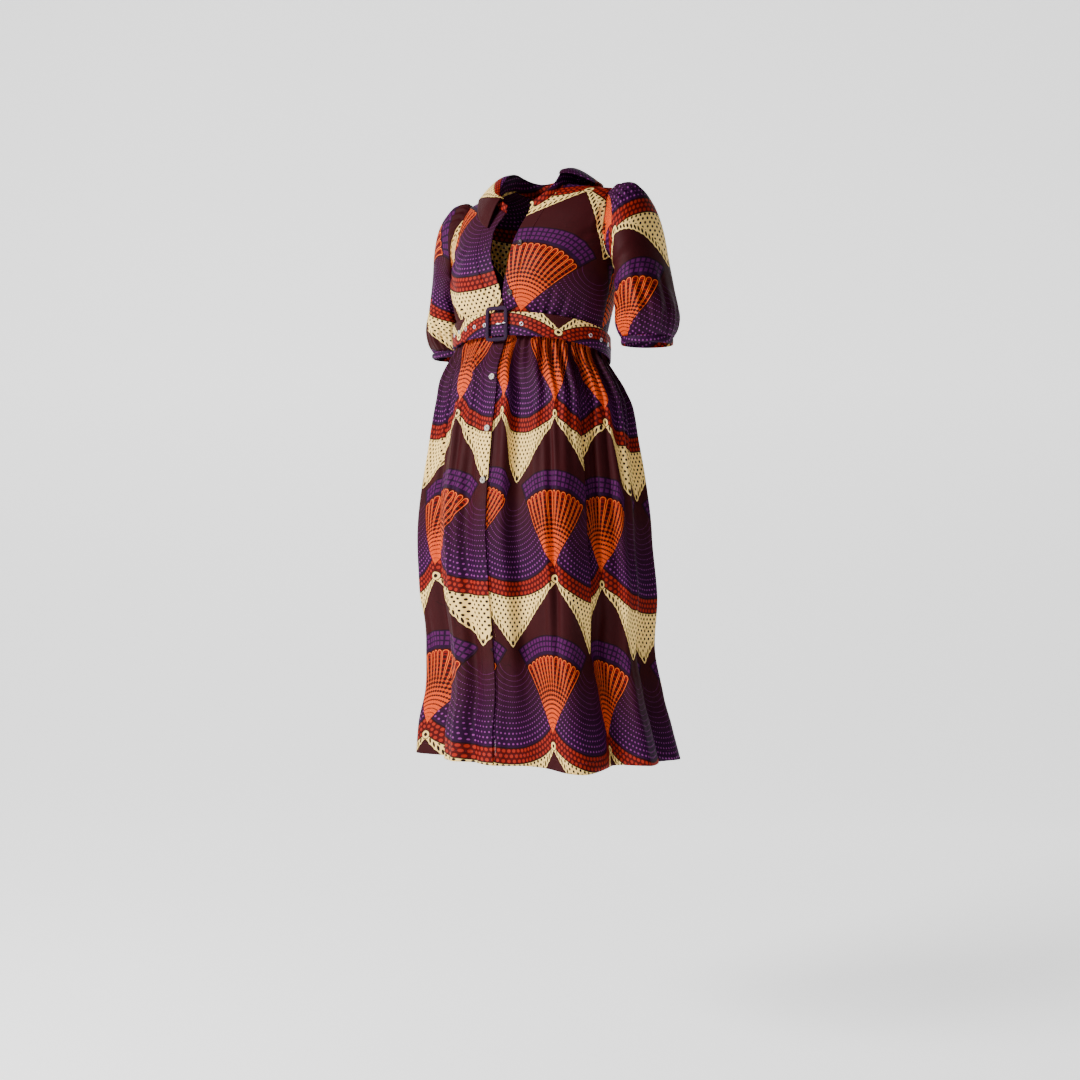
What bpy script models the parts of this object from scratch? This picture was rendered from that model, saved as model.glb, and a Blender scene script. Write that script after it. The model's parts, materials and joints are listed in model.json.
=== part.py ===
"""Belted shirt dress in wax print cotton, kept in the hollow form it has when worn.

Metres, +Z up. The dress faces -Y and the wearer's left is +X. The origin lies midway
between the two points where the shoulder seams meet the collar.
"""

import math

import bmesh
import bpy
import numpy as np

# Cloth and seams
WALL = 0.0016
SEAM = 0.0004
LAP = WALL + 0.0006

# Heights
UNDERARM = 0.150
BODICE_LENGTH = 0.279
WAIST_HEIGHT = -0.293
WAIST_TILT = 0.028
WAIST_LEAN = 0.003
HEM_HEIGHT = -1.045
SKIRT_FALL = 0.752
HEM_DIP = 0.010
HEM_DIP_AT = math.radians(40)
HEM_DIP_SPREAD = math.radians(14)

# Body sections
SHOULDER_SLOPE = 0.19
SHOULDER_BLEND = 0.105
NECK_SIDE = 0.062
NECK_BACK_DROP = 0.018
BUST_OUT = 0.013
BUST_SIDE = 0.080
BUST_DROP = 0.180
BUST_SPREAD = 0.052

# Front closing, wearer's right over left
BAND = 0.030
CLOSING = 0.013
BUTTON_LINE = 0.004
BUTTON_RADIUS = 0.0058
BUTTON_THICK = 0.0026
BODICE_BUTTON_DROPS = (0.122, 0.216)
BODICE_BUTTON_INSET = 0.017
SKIRT_BUTTON_FALLS = (0.094, 0.183, 0.272)

# Collar
STAND_SIDE = 0.027
STAND_FRONT = 0.014
STAND_LEAN = 0.16
LEAF_SIDE = 0.125
LEAF_BACK = 0.090
LEAF_END_LEFT = math.radians(96)
LEAF_END_RIGHT = math.radians(141)
LEAF_POINT = 0.07
LEAF_REST = 0.0062
LEAF_ROLL = 0.34
LEAF_RISE = 0.0070
LEAF_CLEAR = 0.0007
LEAF_END_CLEAR = 0.0016

# Sleeve
SLEEVE_COLUMNS = 36
CUFF_TOP = -0.2904
CUFF_HEIGHT = 0.0126
CUFF_HALF_WIDTH = 0.0455
CUFF_HALF_DEPTH = 0.0496
SLEEVE_GATHERS = 9
SLEEVE_GATHER_DEPTH = 0.0022
ARM_CLEARANCE = 0.004
ARM_BESIDE = 0.085
ARM_PRESS = 0.004
BELT_BESIDE = 0.235

# Gathers at the waist
GATHERS = 28

# Belt and buckle
BELT_WIDTH = 0.042
BELT_THICK = 0.0030
BELT_STAND = 0.0046
TONGUE_LIFT = BELT_THICK + 0.0006
TONGUE_REACH = math.radians(62)
TONGUE_RISE_FROM = math.radians(290)
TONGUE_RISE = math.radians(52)
BUCKLE_WIDTH = 0.047
BUCKLE_HEIGHT = 0.063
BUCKLE_BAR = 0.0072
BUCKLE_NEAR = 0.0074
BUCKLE_FAR = 0.0116
PRONG_RADIUS = 0.0011

# Colours, roughness and metallic value of the materials
PRINT_RED = ((0.30, 0.045, 0.035), 0.80, 0.0)
PRINT_PLUM = ((0.055, 0.014, 0.022), 0.80, 0.0)
PRINT_PURPLE = ((0.065, 0.018, 0.115), 0.80, 0.0)
BUTTON_DARK = ((0.020, 0.018, 0.030), 0.30, 0.0)
BUTTON_PEARL = ((0.62, 0.60, 0.56), 0.25, 0.0)
METAL = ((0.70, 0.69, 0.67), 0.25, 1.0)


def table(names, *rows):
    """Named columns from short rows; the first column is the one the others are read by."""
    return dict(zip(names, np.array(rows, dtype=float).T))


BODY = table(
    ("drop", "half_width", "front_depth", "back_depth", "centre_x", "centre_y", "roundness"),
    (0.000, 0.1580, 0.000, 0.000, 0.000, 0.012, 0.74),
    (0.004, 0.1585, 0.025, 0.026, 0.000, 0.012, 0.74),
    (0.010, 0.1590, 0.038, 0.040, 0.000, 0.012, 0.74),
    (0.020, 0.1605, 0.051, 0.055, 0.000, 0.012, 0.74),
    (0.040, 0.1640, 0.069, 0.075, -0.001, 0.012, 0.75),
    (0.070, 0.1670, 0.087, 0.093, -0.003, 0.010, 0.80),
    (0.105, 0.1680, 0.102, 0.105, -0.006, 0.006, 0.88),
    (0.150, 0.1660, 0.112, 0.111, -0.010, 0.002, 0.88),
    (0.190, 0.1625, 0.114, 0.110, -0.014, 0.000, 0.90),
    (0.235, 0.1540, 0.109, 0.106, -0.017, 0.000, 0.96),
    (0.257, 0.1500, 0.1045, 0.1045, -0.018, 0.000, 1.00),
    (0.279, 0.1490, 0.104, 0.104, -0.018, 0.000, 1.00),
)

ARMHOLE = table(
    ("drop", "front_angle", "back_angle"),
    (0.000, 90, 90),
    (0.003, 77, 77),
    (0.010, 69, 70),
    (0.030, 67, 68),
    (0.060, 68, 70),
    (0.095, 69, 72),
    (0.120, 72, 74),
    (0.138, 78, 79),
    (0.147, 84, 85),
    (0.150, 90, 90),
)

NECKLINE = table(
    ("drop", "left", "right"),
    (0.000, 0.062, 0.062),
    (0.012, 0.0635, 0.064),
    (0.026, 0.061, 0.064),
    (0.038, 0.052, 0.060),
    (0.048, 0.039, 0.047),
    (0.058, 0.022, 0.030),
)

FRONT_EDGE = table(
    ("drop", "left", "right"),
    (0.0580, 0.0220, -0.0300),
    (0.0900, 0.0125, -0.0430),
    (0.1300, 0.0045, -0.0385),
    (0.1650, 0.0020, -0.0275),
    (0.2000, -0.0055, -0.0160),
    (0.2310, -0.0135, -0.0115),
    (0.2790, -0.0310, -0.0050),
)

SLEEVE = table(
    ("along", "outer_x", "outer_z", "inner_x", "inner_z", "half_depth", "centre_y"),
    (0.00, 0.1580, -0.0185, 0.1580, -0.150, 0.043, 0.006),
    (0.07, 0.1720, -0.0120, 0.1600, -0.153, 0.050, 0.009),
    (0.14, 0.1895, -0.0155, 0.1610, -0.158, 0.056, 0.011),
    (0.21, 0.2080, -0.0310, 0.1610, -0.166, 0.060, 0.013),
    (0.31, 0.2245, -0.0600, 0.1610, -0.177, 0.063, 0.015),
    (0.42, 0.2360, -0.0980, 0.1600, -0.190, 0.065, 0.017),
    (0.54, 0.2435, -0.1400, 0.1590, -0.206, 0.066, 0.019),
    (0.70, 0.2555, -0.1940, 0.1580, -0.229, 0.0675, 0.0215),
    (0.86, 0.2665, -0.2450, 0.1588, -0.260, 0.067, 0.024),
    (0.95, 0.2630, -0.2730, 0.1610, -0.277, 0.061, 0.025),
    (1.00, 0.2565, -0.2900, 0.1655, -0.290, 0.0496, 0.025),
)

SKIRT = table(
    ("fall", "half_width", "half_depth", "centre_x"),
    (0.000, 0.1475, 0.1030, -0.0190),
    (0.021, 0.1480, 0.1035, -0.0200),
    (0.035, 0.1540, 0.1100, -0.0205),
    (0.084, 0.1820, 0.1390, -0.0165),
    (0.117, 0.1930, 0.1480, -0.0120),
    (0.194, 0.2070, 0.1610, -0.0140),
    (0.347, 0.2280, 0.1800, -0.0140),
    (0.451, 0.2310, 0.1820, -0.0065),
    (0.554, 0.2220, 0.1760, -0.0010),
    (0.637, 0.2310, 0.1820, 0.0080),
    (0.693, 0.2460, 0.1920, 0.0095),
    (0.752, 0.2565, 0.2000, 0.0150),
)

GATHER_DEPTH = table(
    ("fall", "depth"),
    (0.000, 0.0014),
    (0.021, 0.0024),
    (0.050, 0.0052),
    (0.110, 0.0050),
    (0.220, 0.0030),
    (0.400, 0.0012),
    (0.752, 0.0000),
)

FOLD_GROWTH = table(
    ("fall", "share"),
    (0.000, 0.00),
    (0.021, 0.02),
    (0.060, 0.22),
    (0.150, 0.45),
    (0.350, 0.72),
    (0.752, 1.00),
)

# One row for each large fold round the skirt, from the centre front to the wearer's left
FOLDS = table(
    ("crest", "crest_out", "trough", "trough_in"),
    (2, 0.000, 18, 0.024),
    (41, 0.004, 59, 0.044),
    (75, 0.002, 89, 0.024),
    (104, 0.001, 120, 0.030),
    (134, 0.004, 151, 0.036),
    (165, 0.000, 178, 0.024),
    (193, 0.003, 208, 0.034),
    (222, 0.001, 236, 0.026),
    (251, 0.003, 265, 0.036),
    (281, 0.001, 294, 0.026),
    (309, 0.003, 324, 0.032),
    (341, 0.001, 350, 0.016),
)

ARM_DROPS = np.array(
    (0, 0.002, 0.007, 0.014, 0.024, 0.038, 0.050, 0.066, 0.084, 0.102, 0.120, 0.134,
     0.143, 0.148, UNDERARM)
)
BODICE_DROPS = np.concatenate(
    (ARM_DROPS, (0.166, 0.184, 0.202, 0.222, 0.240, 0.260, BODICE_LENGTH))
)
BAND_TOP = 0.038
SKIRT_FALLS = np.array(
    (SEAM, 0.020, 0.034, 0.058, SKIRT_BUTTON_FALLS[0], 0.138, SKIRT_BUTTON_FALLS[1],
     SKIRT_BUTTON_FALLS[2], 0.365, 0.460, 0.555, 0.650, SKIRT_FALL)
)


def smooth(sheet, column, where):
    """Read a column between its rows by cubics whose slopes never overshoot the rows."""
    key = next(iter(sheet))
    x, y = sheet[key], sheet[column]
    width = np.diff(x)
    rise = np.diff(y) / width
    slope = np.concatenate(([rise[0]], np.zeros(len(rise) - 1), [rise[-1]]))
    turn = rise[:-1] * rise[1:] > 0
    total = np.where(turn, rise[:-1] + rise[1:], 1.0)
    slope[1:-1] = np.where(turn, 2 * rise[:-1] * rise[1:] / total, 0.0)
    where = np.asarray(where, dtype=float)
    i = np.clip(np.searchsorted(x, where, side="right") - 1, 0, len(width) - 1)
    t = (where - x[i]) / width[i]
    return (
        (2 * t**3 - 3 * t**2 + 1) * y[i]
        + (t**3 - 2 * t**2 + t) * width[i] * slope[i]
        + (3 * t**2 - 2 * t**3) * y[i + 1]
        + (t**3 - t**2) * width[i] * slope[i + 1]
    )


def ease(t):
    """Rise from 0 to 1 with level ends."""
    t = np.clip(t, 0.0, 1.0)
    return t * t * (3 - 2 * t)


def unit(vectors):
    """Vectors brought to length 1."""
    return vectors / np.linalg.norm(vectors, axis=-1, keepdims=True)


def stack(x, y, z):
    """Points from three arrays of coordinates."""
    return np.stack(np.broadcast_arrays(x, y, z), axis=-1)


def facing_out(surface, across, down):
    """Points of a surface and its outward directions, from its slopes each way."""
    reach = 1e-4
    across, down = np.broadcast_arrays(across, down)
    along_across = surface(across + reach, down) - surface(across - reach, down)
    along_down = surface(across, down + reach) - surface(across, down - reach)
    return surface(across, down), unit(np.cross(along_down, along_across))


def waist_height(angle):
    """The waist seam rides up at the front and dips a little at the wearer's left."""
    return WAIST_HEIGHT + WAIST_TILT * np.cos(angle) - WAIST_LEAN * np.sin(angle)


def body(angle, drop):
    """The bodice: rounded sections that close to the sloping shoulder line at the top.

    The angle runs from the centre front to the wearer's left; the drop is measured down
    from the neck point of the shoulder seam.
    """
    sine, cosine = np.sin(angle), np.cos(angle)
    depth = np.where(cosine >= 0, smooth(BODY, "front_depth", drop), smooth(BODY, "back_depth", drop))
    power = smooth(BODY, "roundness", drop)
    off_centre = smooth(BODY, "half_width", drop) * np.sign(sine) * np.abs(sine) ** power
    x = smooth(BODY, "centre_x", drop) + off_centre
    y = smooth(BODY, "centre_y", drop) - depth * np.sign(cosine) * np.abs(cosine) ** power
    bust = np.exp(-(((np.abs(off_centre) - BUST_SIDE) / BUST_SPREAD) ** 2))
    bust = bust * np.exp(-(((drop - BUST_DROP) / BUST_SPREAD) ** 2)) * ease((0.258 - drop) / 0.05)
    y = y - BUST_OUT * bust * np.clip(cosine, 0, 1)
    shoulder = np.clip(1 - drop / SHOULDER_BLEND, 0, 1) ** 2
    above = -drop - shoulder * SHOULDER_SLOPE * (np.abs(x) - NECK_SIDE)
    share = (drop - UNDERARM) / (BODICE_LENGTH - UNDERARM)
    below = -UNDERARM + share * (waist_height(angle) + UNDERARM)
    return stack(x, y, np.where(drop > UNDERARM, below, above))


def body_facing(angle, drop):
    """Bodice points and outward directions; along the shoulder seam they face up."""
    points, facing = facing_out(body, angle, drop)
    up = unit(stack(SHOULDER_SLOPE * np.sign(points[..., 0]), 0.0, 1.0))
    share = np.clip(1 - np.asarray(drop) / 0.003, 0, 1)
    share = np.broadcast_to(share, points.shape[:-1])[..., None]
    return points, unit((1 - share) * facing + share * up)


def body_angle(x, drop):
    """The angle at which a place this far to the side lies on the bodice's front."""
    off_centre = x - smooth(BODY, "centre_x", drop)
    share = np.clip(np.abs(off_centre) / smooth(BODY, "half_width", drop), 0, 1)
    return np.sign(off_centre) * np.arcsin(share ** (1 / smooth(BODY, "roundness", drop)))


def fold_wave(angle):
    """Large folds: level-ended rises and falls from each crest to the next trough."""
    places = np.radians(np.stack((FOLDS["crest"], FOLDS["trough"]), axis=1).ravel())
    heights = np.stack((FOLDS["crest_out"], -FOLDS["trough_in"]), axis=1).ravel()
    places = np.append(places, places[0] + 2 * math.pi)
    heights = np.append(heights, heights[0])
    turned = places[0] + np.mod(angle - places[0], 2 * math.pi)
    i = np.clip(np.searchsorted(places, turned, side="right") - 1, 0, len(places) - 2)
    share = ease((turned - places[i]) / (places[i + 1] - places[i]))
    return heights[i] + (heights[i + 1] - heights[i]) * share


def gather_wave(angle, off_centre):
    """Small gathers, uneven in width and depth, that leave the closing bands flat."""
    phase = GATHERS * angle + 1.3 * np.sin(3 * angle + 0.6) + 0.8 * np.sin(7 * angle + 2.0)
    height = 0.74 + 0.26 * np.sin(5 * angle + 1.0)
    at_front = np.cos(angle) > 0
    flat = np.where(at_front, ease((np.abs(off_centre) - 0.012) / 0.026), 1.0)
    return np.cos(phase) * height * flat


def skirt(angle, fall):
    """The skirt: widening oval sections, moved out and in by its gathers and folds."""
    sine, cosine = np.sin(angle), np.cos(angle)
    wide, deep = smooth(SKIRT, "half_width", fall), smooth(SKIRT, "half_depth", fall)
    off_centre = wide * sine
    out = smooth(FOLD_GROWTH, "share", fall) * fold_wave(angle)
    out = out + smooth(GATHER_DEPTH, "depth", fall) * gather_wave(angle, off_centre)
    length = np.hypot(sine * deep, cosine * wide)
    x = smooth(SKIRT, "centre_x", fall) + off_centre + out * sine * deep / length
    y = -deep * cosine - out * cosine * wide / length
    dip = HEM_DIP * np.exp(-(((angle - HEM_DIP_AT) / HEM_DIP_SPREAD) ** 2))
    share = fall / SKIRT_FALL
    z = waist_height(angle) * (1 - share) + (HEM_HEIGHT - dip * share) * share
    return stack(x, y, z)


def skirt_angle(off_centre, fall):
    """The angle at which a place this far off the centre line lies on the skirt's front."""
    return np.arcsin(off_centre / smooth(SKIRT, "half_width", fall))


def lap_sink(beyond_edge):
    """How far the under front is let in beneath the upper one, by distance past its edge."""
    return LAP * (1 - ease((beyond_edge - 0.003) / 0.013))


def finish(name, look):
    """A plain material of one colour."""
    colour, roughness, metallic = look
    material = bpy.data.materials.new(name)
    material.use_nodes = True
    shader = material.node_tree.nodes["Principled BSDF"]
    shader.inputs["Base Color"].default_value = (*colour, 1.0)
    shader.inputs["Roughness"].default_value = roughness
    shader.inputs["Metallic"].default_value = metallic
    material.diffuse_color = (*colour, 1.0)
    return material


def solid(name, points, faces, look):
    """One closed body from points and faces, turned to face out and shaded smooth."""
    mesh = bpy.data.meshes.new(name)
    mesh.from_pydata([tuple(point) for point in points], [], faces)
    work = bmesh.new()
    work.from_mesh(mesh)
    bmesh.ops.recalc_face_normals(work, faces=work.faces)
    if work.calc_volume(signed=True) < 0:
        bmesh.ops.reverse_faces(work, faces=work.faces)
    work.to_mesh(mesh)
    work.free()
    mesh.materials.append(finish(name, look))
    mesh.shade_smooth()
    piece = bpy.data.objects.new(name, mesh)
    bpy.context.scene.collection.objects.link(piece)
    return piece


def grid_faces(rows, columns, start, ring):
    """Triangles over a grid of points that may close on itself, all cut the same way."""
    faces = []
    for r in range(rows - 1):
        for c in range(columns if ring else columns - 1):
            near, far = start + r * columns, start + (r + 1) * columns
            onward = (c + 1) % columns
            faces.append((near + c, far + c, far + onward))
            faces.append((near + c, far + onward, near + onward))
    return faces


def wall(name, outer, facing, look, thick=WALL, ring=False):
    """Cloth as a closed wall: outer points, the same points moved in, and the rims between."""
    rows, columns = outer.shape[:2]
    count = rows * columns
    inner = outer - thick * facing
    points = np.concatenate((outer.reshape(-1, 3), inner.reshape(-1, 3)))
    faces = grid_faces(rows, columns, 0, ring)
    faces += [tuple(reversed(face)) for face in grid_faces(rows, columns, count, ring)]
    rim = [[r * columns + c for c in range(columns)] for r in (0, rows - 1)]
    if ring:
        for edge in rim:
            edge.append(edge[0])
    else:
        rim += [[r * columns + c for r in range(rows)] for c in (0, columns - 1)]
    for edge in rim:
        faces += [(a, b, b + count, a + count) for a, b in zip(edge, edge[1:])]
    return solid(name, points, faces, look)


def apart(points, towards_back):
    """Front and back pieces stand half a seam's gap each way from their shared line."""
    return points + np.array((0.0, SEAM / 2 if towards_back else -SEAM / 2, 0.0))


def edge_x(side, drop):
    """The front edge of one side, carried straight up above the collar's end."""
    column = "left" if side > 0 else "right"
    return smooth(FRONT_EDGE, column, np.maximum(drop, FRONT_EDGE["drop"][0]))


def panel_inner_x(side, drop):
    """Where a front panel begins: the neckline at the top, then the band's seam."""
    column = "left" if side > 0 else "right"
    neck = smooth(NECKLINE, column, np.minimum(drop, NECKLINE["drop"][-1]))
    seam = side * edge_x(side, drop) + BAND + SEAM
    return side * np.where(drop < BAND_TOP - 1e-6, neck, seam)


def sunk(points, facing, drop):
    """Let the left front in where the right front laps over it."""
    beyond = points[..., 0] - edge_x(-1, drop)
    depth = lap_sink(beyond) * ease((drop - 0.196) / 0.028)
    return points - depth[..., None] * facing


def bodice_front(side):
    """A front panel from its band's seam to the side seam and armhole."""
    drop = BODICE_DROPS[:, None]
    inner = body_angle(panel_inner_x(side, drop), drop)
    top = np.minimum(drop, UNDERARM)
    outer = side * np.radians(smooth(ARMHOLE, "front_angle", top))
    angle = inner + (outer - inner) * np.linspace(0, 1, 10)[None, :]
    points, facing = body_facing(angle, drop + 0 * angle)
    if side > 0:
        points = sunk(points, facing, drop + 0 * angle)
    name = "bodice_front_left" if side > 0 else "bodice_front_right"
    wall(name, apart(points, False), facing, PRINT_PLUM)


def band_top_drop(side, share):
    """The neckline's drop at each place across a band."""
    column = "left" if side > 0 else "right"
    x = abs(FRONT_EDGE[column][0]) + BAND * share
    return np.interp(-x, -NECKLINE[column][2:], NECKLINE["drop"][2:])


def bodice_band(side):
    """The closing band of one front, from the neckline to the waist."""
    share = np.linspace(0, 1, 3)[None, :]
    rows = BODICE_DROPS[BODICE_DROPS >= BAND_TOP][:, None]
    down = (rows - BAND_TOP) / (BODICE_LENGTH - BAND_TOP)
    top = band_top_drop(side, share)
    drop = top + (BODICE_LENGTH - top) * down
    x = edge_x(side, drop) + side * BAND * share
    points, facing = body_facing(body_angle(x, drop), drop)
    if side > 0:
        points = sunk(points, facing, drop)
    name = "bodice_button_band" if side > 0 else "bodice_buttonhole_band"
    wall(name, apart(points, False), facing, PRINT_PURPLE)


def back_columns():
    """Shares of the way from the centre back to each armhole, one at each neck point."""
    power = 1 / BODY["roundness"][0]
    neck = math.asin((NECK_SIDE / BODY["half_width"][0]) ** power) / (math.pi / 2)
    inside = neck * np.sin(np.linspace(-math.pi / 2, math.pi / 2, 11))
    outside = np.linspace(neck, 1, 8)[1:]
    return np.concatenate((-outside[::-1], inside, outside)), neck


def back_grid():
    """Angles and drops over the back; its top row follows the shoulders and the neck."""
    share, neck = back_columns()
    inside = np.clip(1 - (share / neck) ** 2, 0, 1)
    top = (NECK_BACK_DROP * inside**0.8)[None, :]
    drop = top + BODICE_DROPS[:, None] * (1 - top / BODICE_LENGTH)
    outer = np.radians(smooth(ARMHOLE, "back_angle", np.minimum(BODICE_DROPS, UNDERARM)))
    inset = (math.pi / 2 - outer[:, None]) * share**4
    angle = math.pi - share * math.pi / 2 + np.sign(share) * inset
    return angle, drop


def bodice_back():
    """The back in one piece between the side seams and armholes."""
    angle, drop = back_grid()
    points, facing = body_facing(angle, drop)
    wall("bodice_back", apart(points, True), facing, PRINT_PLUM)


def neck_edge():
    """The neckline from the right front end round the back to the left front end."""
    ends = []
    for side in (-1, 1):
        rows = BODICE_DROPS[BODICE_DROPS < BAND_TOP - 1e-6]
        drop = np.concatenate((rows, band_top_drop(side, np.array((1.0, 0.5, 0.0)))))
        x = np.concatenate((
            panel_inner_x(side, rows),
            edge_x(side, drop[-3:]) + side * BAND * np.array((1.0, 0.5, 0.0)),
        ))
        ends.append(body(body_angle(x, drop), drop))
    angle, drop = back_grid()
    share, neck = back_columns()
    behind = np.abs(share) < neck - 1e-6
    back = body(angle[0, behind], drop[0, behind])[::-1]
    if back[0, 0] > back[-1, 0]:
        back = back[::-1]
    return np.concatenate((ends[0][::-1], back, ends[1]))


def stand_rows():
    """The collar stand's lower and upper edges, with the directions its cloth faces."""
    low = neck_edge()
    count = len(low)
    place = np.abs(np.linspace(-1, 1, count))
    forward = ease((place - 0.50) / 0.50)
    height = STAND_SIDE + (STAND_FRONT - STAND_SIDE) * forward
    plan = low * np.array((1.0, 1.0, 0.0))
    outward = unit(plan - np.array((0.0, -0.012, 0.0)))
    rise = unit(np.array((0.0, 0.0, 1.0)) - STAND_LEAN * outward)
    facing = unit(outward + STAND_LEAN * np.array((0.0, 0.0, 1.0)))
    start = low + 0.0005 * rise
    return start, rise, facing, height


def collar_stand():
    """A narrow band that stands up round the neck."""
    start, rise, facing, height = stand_rows()
    rows = np.array((0.0, 0.5, 1.0))[:, None, None]
    outer = start[None] + rows * (height[:, None] * rise)[None]
    wall("collar_stand", outer, np.broadcast_to(facing[None], outer.shape), PRINT_RED)


def height_over(x, y):
    """The bodice's height at a place in plan, found by halving the span of drops."""
    low, high = np.zeros_like(x), np.full_like(x, 0.12)
    for _ in range(30):
        drop = (low + high) / 2
        depth = np.where(y < smooth(BODY, "centre_y", drop),
                         smooth(BODY, "front_depth", drop), smooth(BODY, "back_depth", drop))
        across = np.abs(x - smooth(BODY, "centre_x", drop)) / smooth(BODY, "half_width", drop)
        inward = np.abs(y - smooth(BODY, "centre_y", drop)) / np.maximum(depth, 1e-6)
        power = 2 / smooth(BODY, "roundness", drop)
        outside = across**power + inward**power > 1
        low, high = np.where(outside, drop, low), np.where(outside, high, drop)
    shoulder = np.clip(1 - high / SHOULDER_BLEND, 0, 1) ** 2
    return -high - shoulder * SHOULDER_SLOPE * (np.abs(x) - NECK_SIDE)


def collar_leaf():
    """The turned-down leaf: its right end lies on the chest, its left end back on the shoulder.

    Each column is a three-point curve from the fold, past a point that rounds the roll,
    to the outer edge, which rests a little above the bodice.
    """
    start, rise, facing, height = stand_rows()
    centre = len(start) // 2
    first, last = 1, len(start) - 5
    chosen = slice(first, last + 1)
    fold = (start + rise * height[:, None])[chosen]
    place = np.arange(first, last + 1)
    turn = np.interp(place, (first, centre, last), (-LEAF_END_RIGHT, 0.0, LEAF_END_LEFT))
    towards_end = np.interp(place, (first, centre, last), (1.0, 0.0, 1.0))
    on_right = towards_end * (turn < 0)
    clear = WALL + LEAF_CLEAR + LEAF_END_CLEAR * (towards_end**5 + 1.6 * on_right)[:, None]
    fold = fold - WALL * facing[chosen] + clear * rise[chosen]
    reach = 1 + LEAF_POINT * ease((on_right - 0.7) / 0.3)
    x, y = LEAF_SIDE * reach * np.sin(turn), LEAF_BACK * reach * np.cos(turn)
    edge = stack(x, y, height_over(x, y) + LEAF_REST + WALL)
    control = fold + LEAF_ROLL * (edge - fold)
    control[:, 2] = fold[:, 2] + LEAF_RISE
    t = np.linspace(0, 1, 6)[:, None, None]
    outer = (1 - t) ** 2 * fold + 2 * t * (1 - t) * control + t**2 * edge
    along = np.gradient(outer, axis=1)
    down = np.gradient(outer, axis=0)
    normal = unit(np.cross(down, along))
    outward = unit(edge - fold) + np.array((0.0, 0.0, 1.0))
    normal = normal * np.sign(np.sum(normal * outward, axis=-1, keepdims=True))
    normal[0] = rise[chosen]
    wall("collar_leaf", outer, normal, PRINT_PURPLE)


def armhole_ring(side):
    """The armhole's edge from the shoulder down the front and up the back, moved clear."""
    front = smooth(ARMHOLE, "front_angle", ARM_DROPS)
    back = 180 - smooth(ARMHOLE, "back_angle", ARM_DROPS)
    angle = side * np.radians(np.concatenate((front, back[-2:0:-1])))
    drop = np.concatenate((ARM_DROPS, ARM_DROPS[-2:0:-1]))
    points, facing = body_facing(angle, drop)
    along = np.roll(points, -1, axis=0) - np.roll(points, 1, axis=0)
    onward = side * unit(np.cross(facing, along))
    around = np.arccos(1 - 2 * np.clip(drop / UNDERARM, 0, 1))
    around[len(ARM_DROPS):] = 2 * math.pi - around[len(ARM_DROPS):]
    return around, points + 0.0006 * onward + 0.0007 * facing


def torso_side(side, y, z):
    """How far to the side the bodice reaches at a place beside the arm."""
    share = (-z - UNDERARM) / (-WAIST_HEIGHT - UNDERARM)
    below = np.clip(UNDERARM + share * (BODICE_LENGTH - UNDERARM), UNDERARM, BODICE_LENGTH)
    drop = np.where(-z < UNDERARM, np.clip(-z, 0, UNDERARM), below)
    depth = np.where(y < 0, smooth(BODY, "front_depth", drop), smooth(BODY, "back_depth", drop))
    inward = np.clip(np.abs(y) / depth, 0, 1)
    power = 2 / smooth(BODY, "roundness", drop)
    reach = (1 - inward**power) ** (1 / power)
    belt = (BELT_STAND + BELT_THICK + TONGUE_LIFT) * ease((-z - BELT_BESIDE) / 0.03)
    return side * smooth(BODY, "centre_x", drop) + smooth(BODY, "half_width", drop) * reach + belt


def sleeve(side):
    """A short gathered sleeve: ovals that lean from the armhole to the level cuff."""
    around, ring = armhole_ring(side)
    turn = 2 * math.pi * np.arange(SLEEVE_COLUMNS) / SLEEVE_COLUMNS
    first = np.stack([np.interp(turn, np.append(around, 2 * math.pi), np.append(ring[:, k], ring[0, k]))
                      for k in range(3)], axis=-1)
    along = SLEEVE["along"][:, None]
    turn = turn[None, :]
    outer_x, outer_z, inner_x, inner_z, deep, middle_y = (
        SLEEVE[column][:, None]
        for column in ("outer_x", "outer_z", "inner_x", "inner_z", "half_depth", "centre_y")
    )
    gather = SLEEVE_GATHER_DEPTH * np.cos(SLEEVE_GATHERS * turn + 0.7 * np.sin(2 * turn))
    gather = gather * (ease((along - 0.66) / 0.26) - 0.4 * ease((along - 0.90) / 0.10))
    size = 1 + gather / 0.055
    share = (1 + np.cos(turn) * size) / 2
    x = inner_x + (outer_x - inner_x) * share
    z = inner_z + (outer_z - inner_z) * share
    spread, swing = (0.0, 0.0) if side > 0 else (0.0040, 0.018)
    y = middle_y + swing * along - deep * size * np.sin(turn)
    points = stack(side * (x + spread * along), y, z)
    hold = (1 - ease(along / 0.36)) ** 1.5
    points = points + hold[..., None] * (first - points[0])
    beside = points[..., 2] < -ARM_BESIDE
    reach = torso_side(side, points[..., 1], points[..., 2]) + ARM_CLEARANCE * ease(along / 0.12)
    spare = (side * points[..., 0] - reach) / ARM_PRESS
    eased = reach + ARM_PRESS * np.logaddexp(0, np.clip(spare, -50, 50))
    pushed = np.where(beside & (spare < 6), eased, side * points[..., 0])
    points[1:, :, 0] = side * pushed[1:]
    down = np.gradient(points, axis=0)
    across = np.roll(points, -1, axis=1) - np.roll(points, 1, axis=1)
    facing = side * unit(np.cross(across, down))
    name = "sleeve_left" if side > 0 else "sleeve_right"
    wall(name, points, facing, PRINT_PURPLE, ring=True)


def cuff_centre(side):
    """The middle of a cuff in plan."""
    x = (SLEEVE["outer_x"][-1] + SLEEVE["inner_x"][-1]) / 2
    y = SLEEVE["centre_y"][-1]
    return (x, y) if side > 0 else (-x - 0.0040, y + 0.018)


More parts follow.
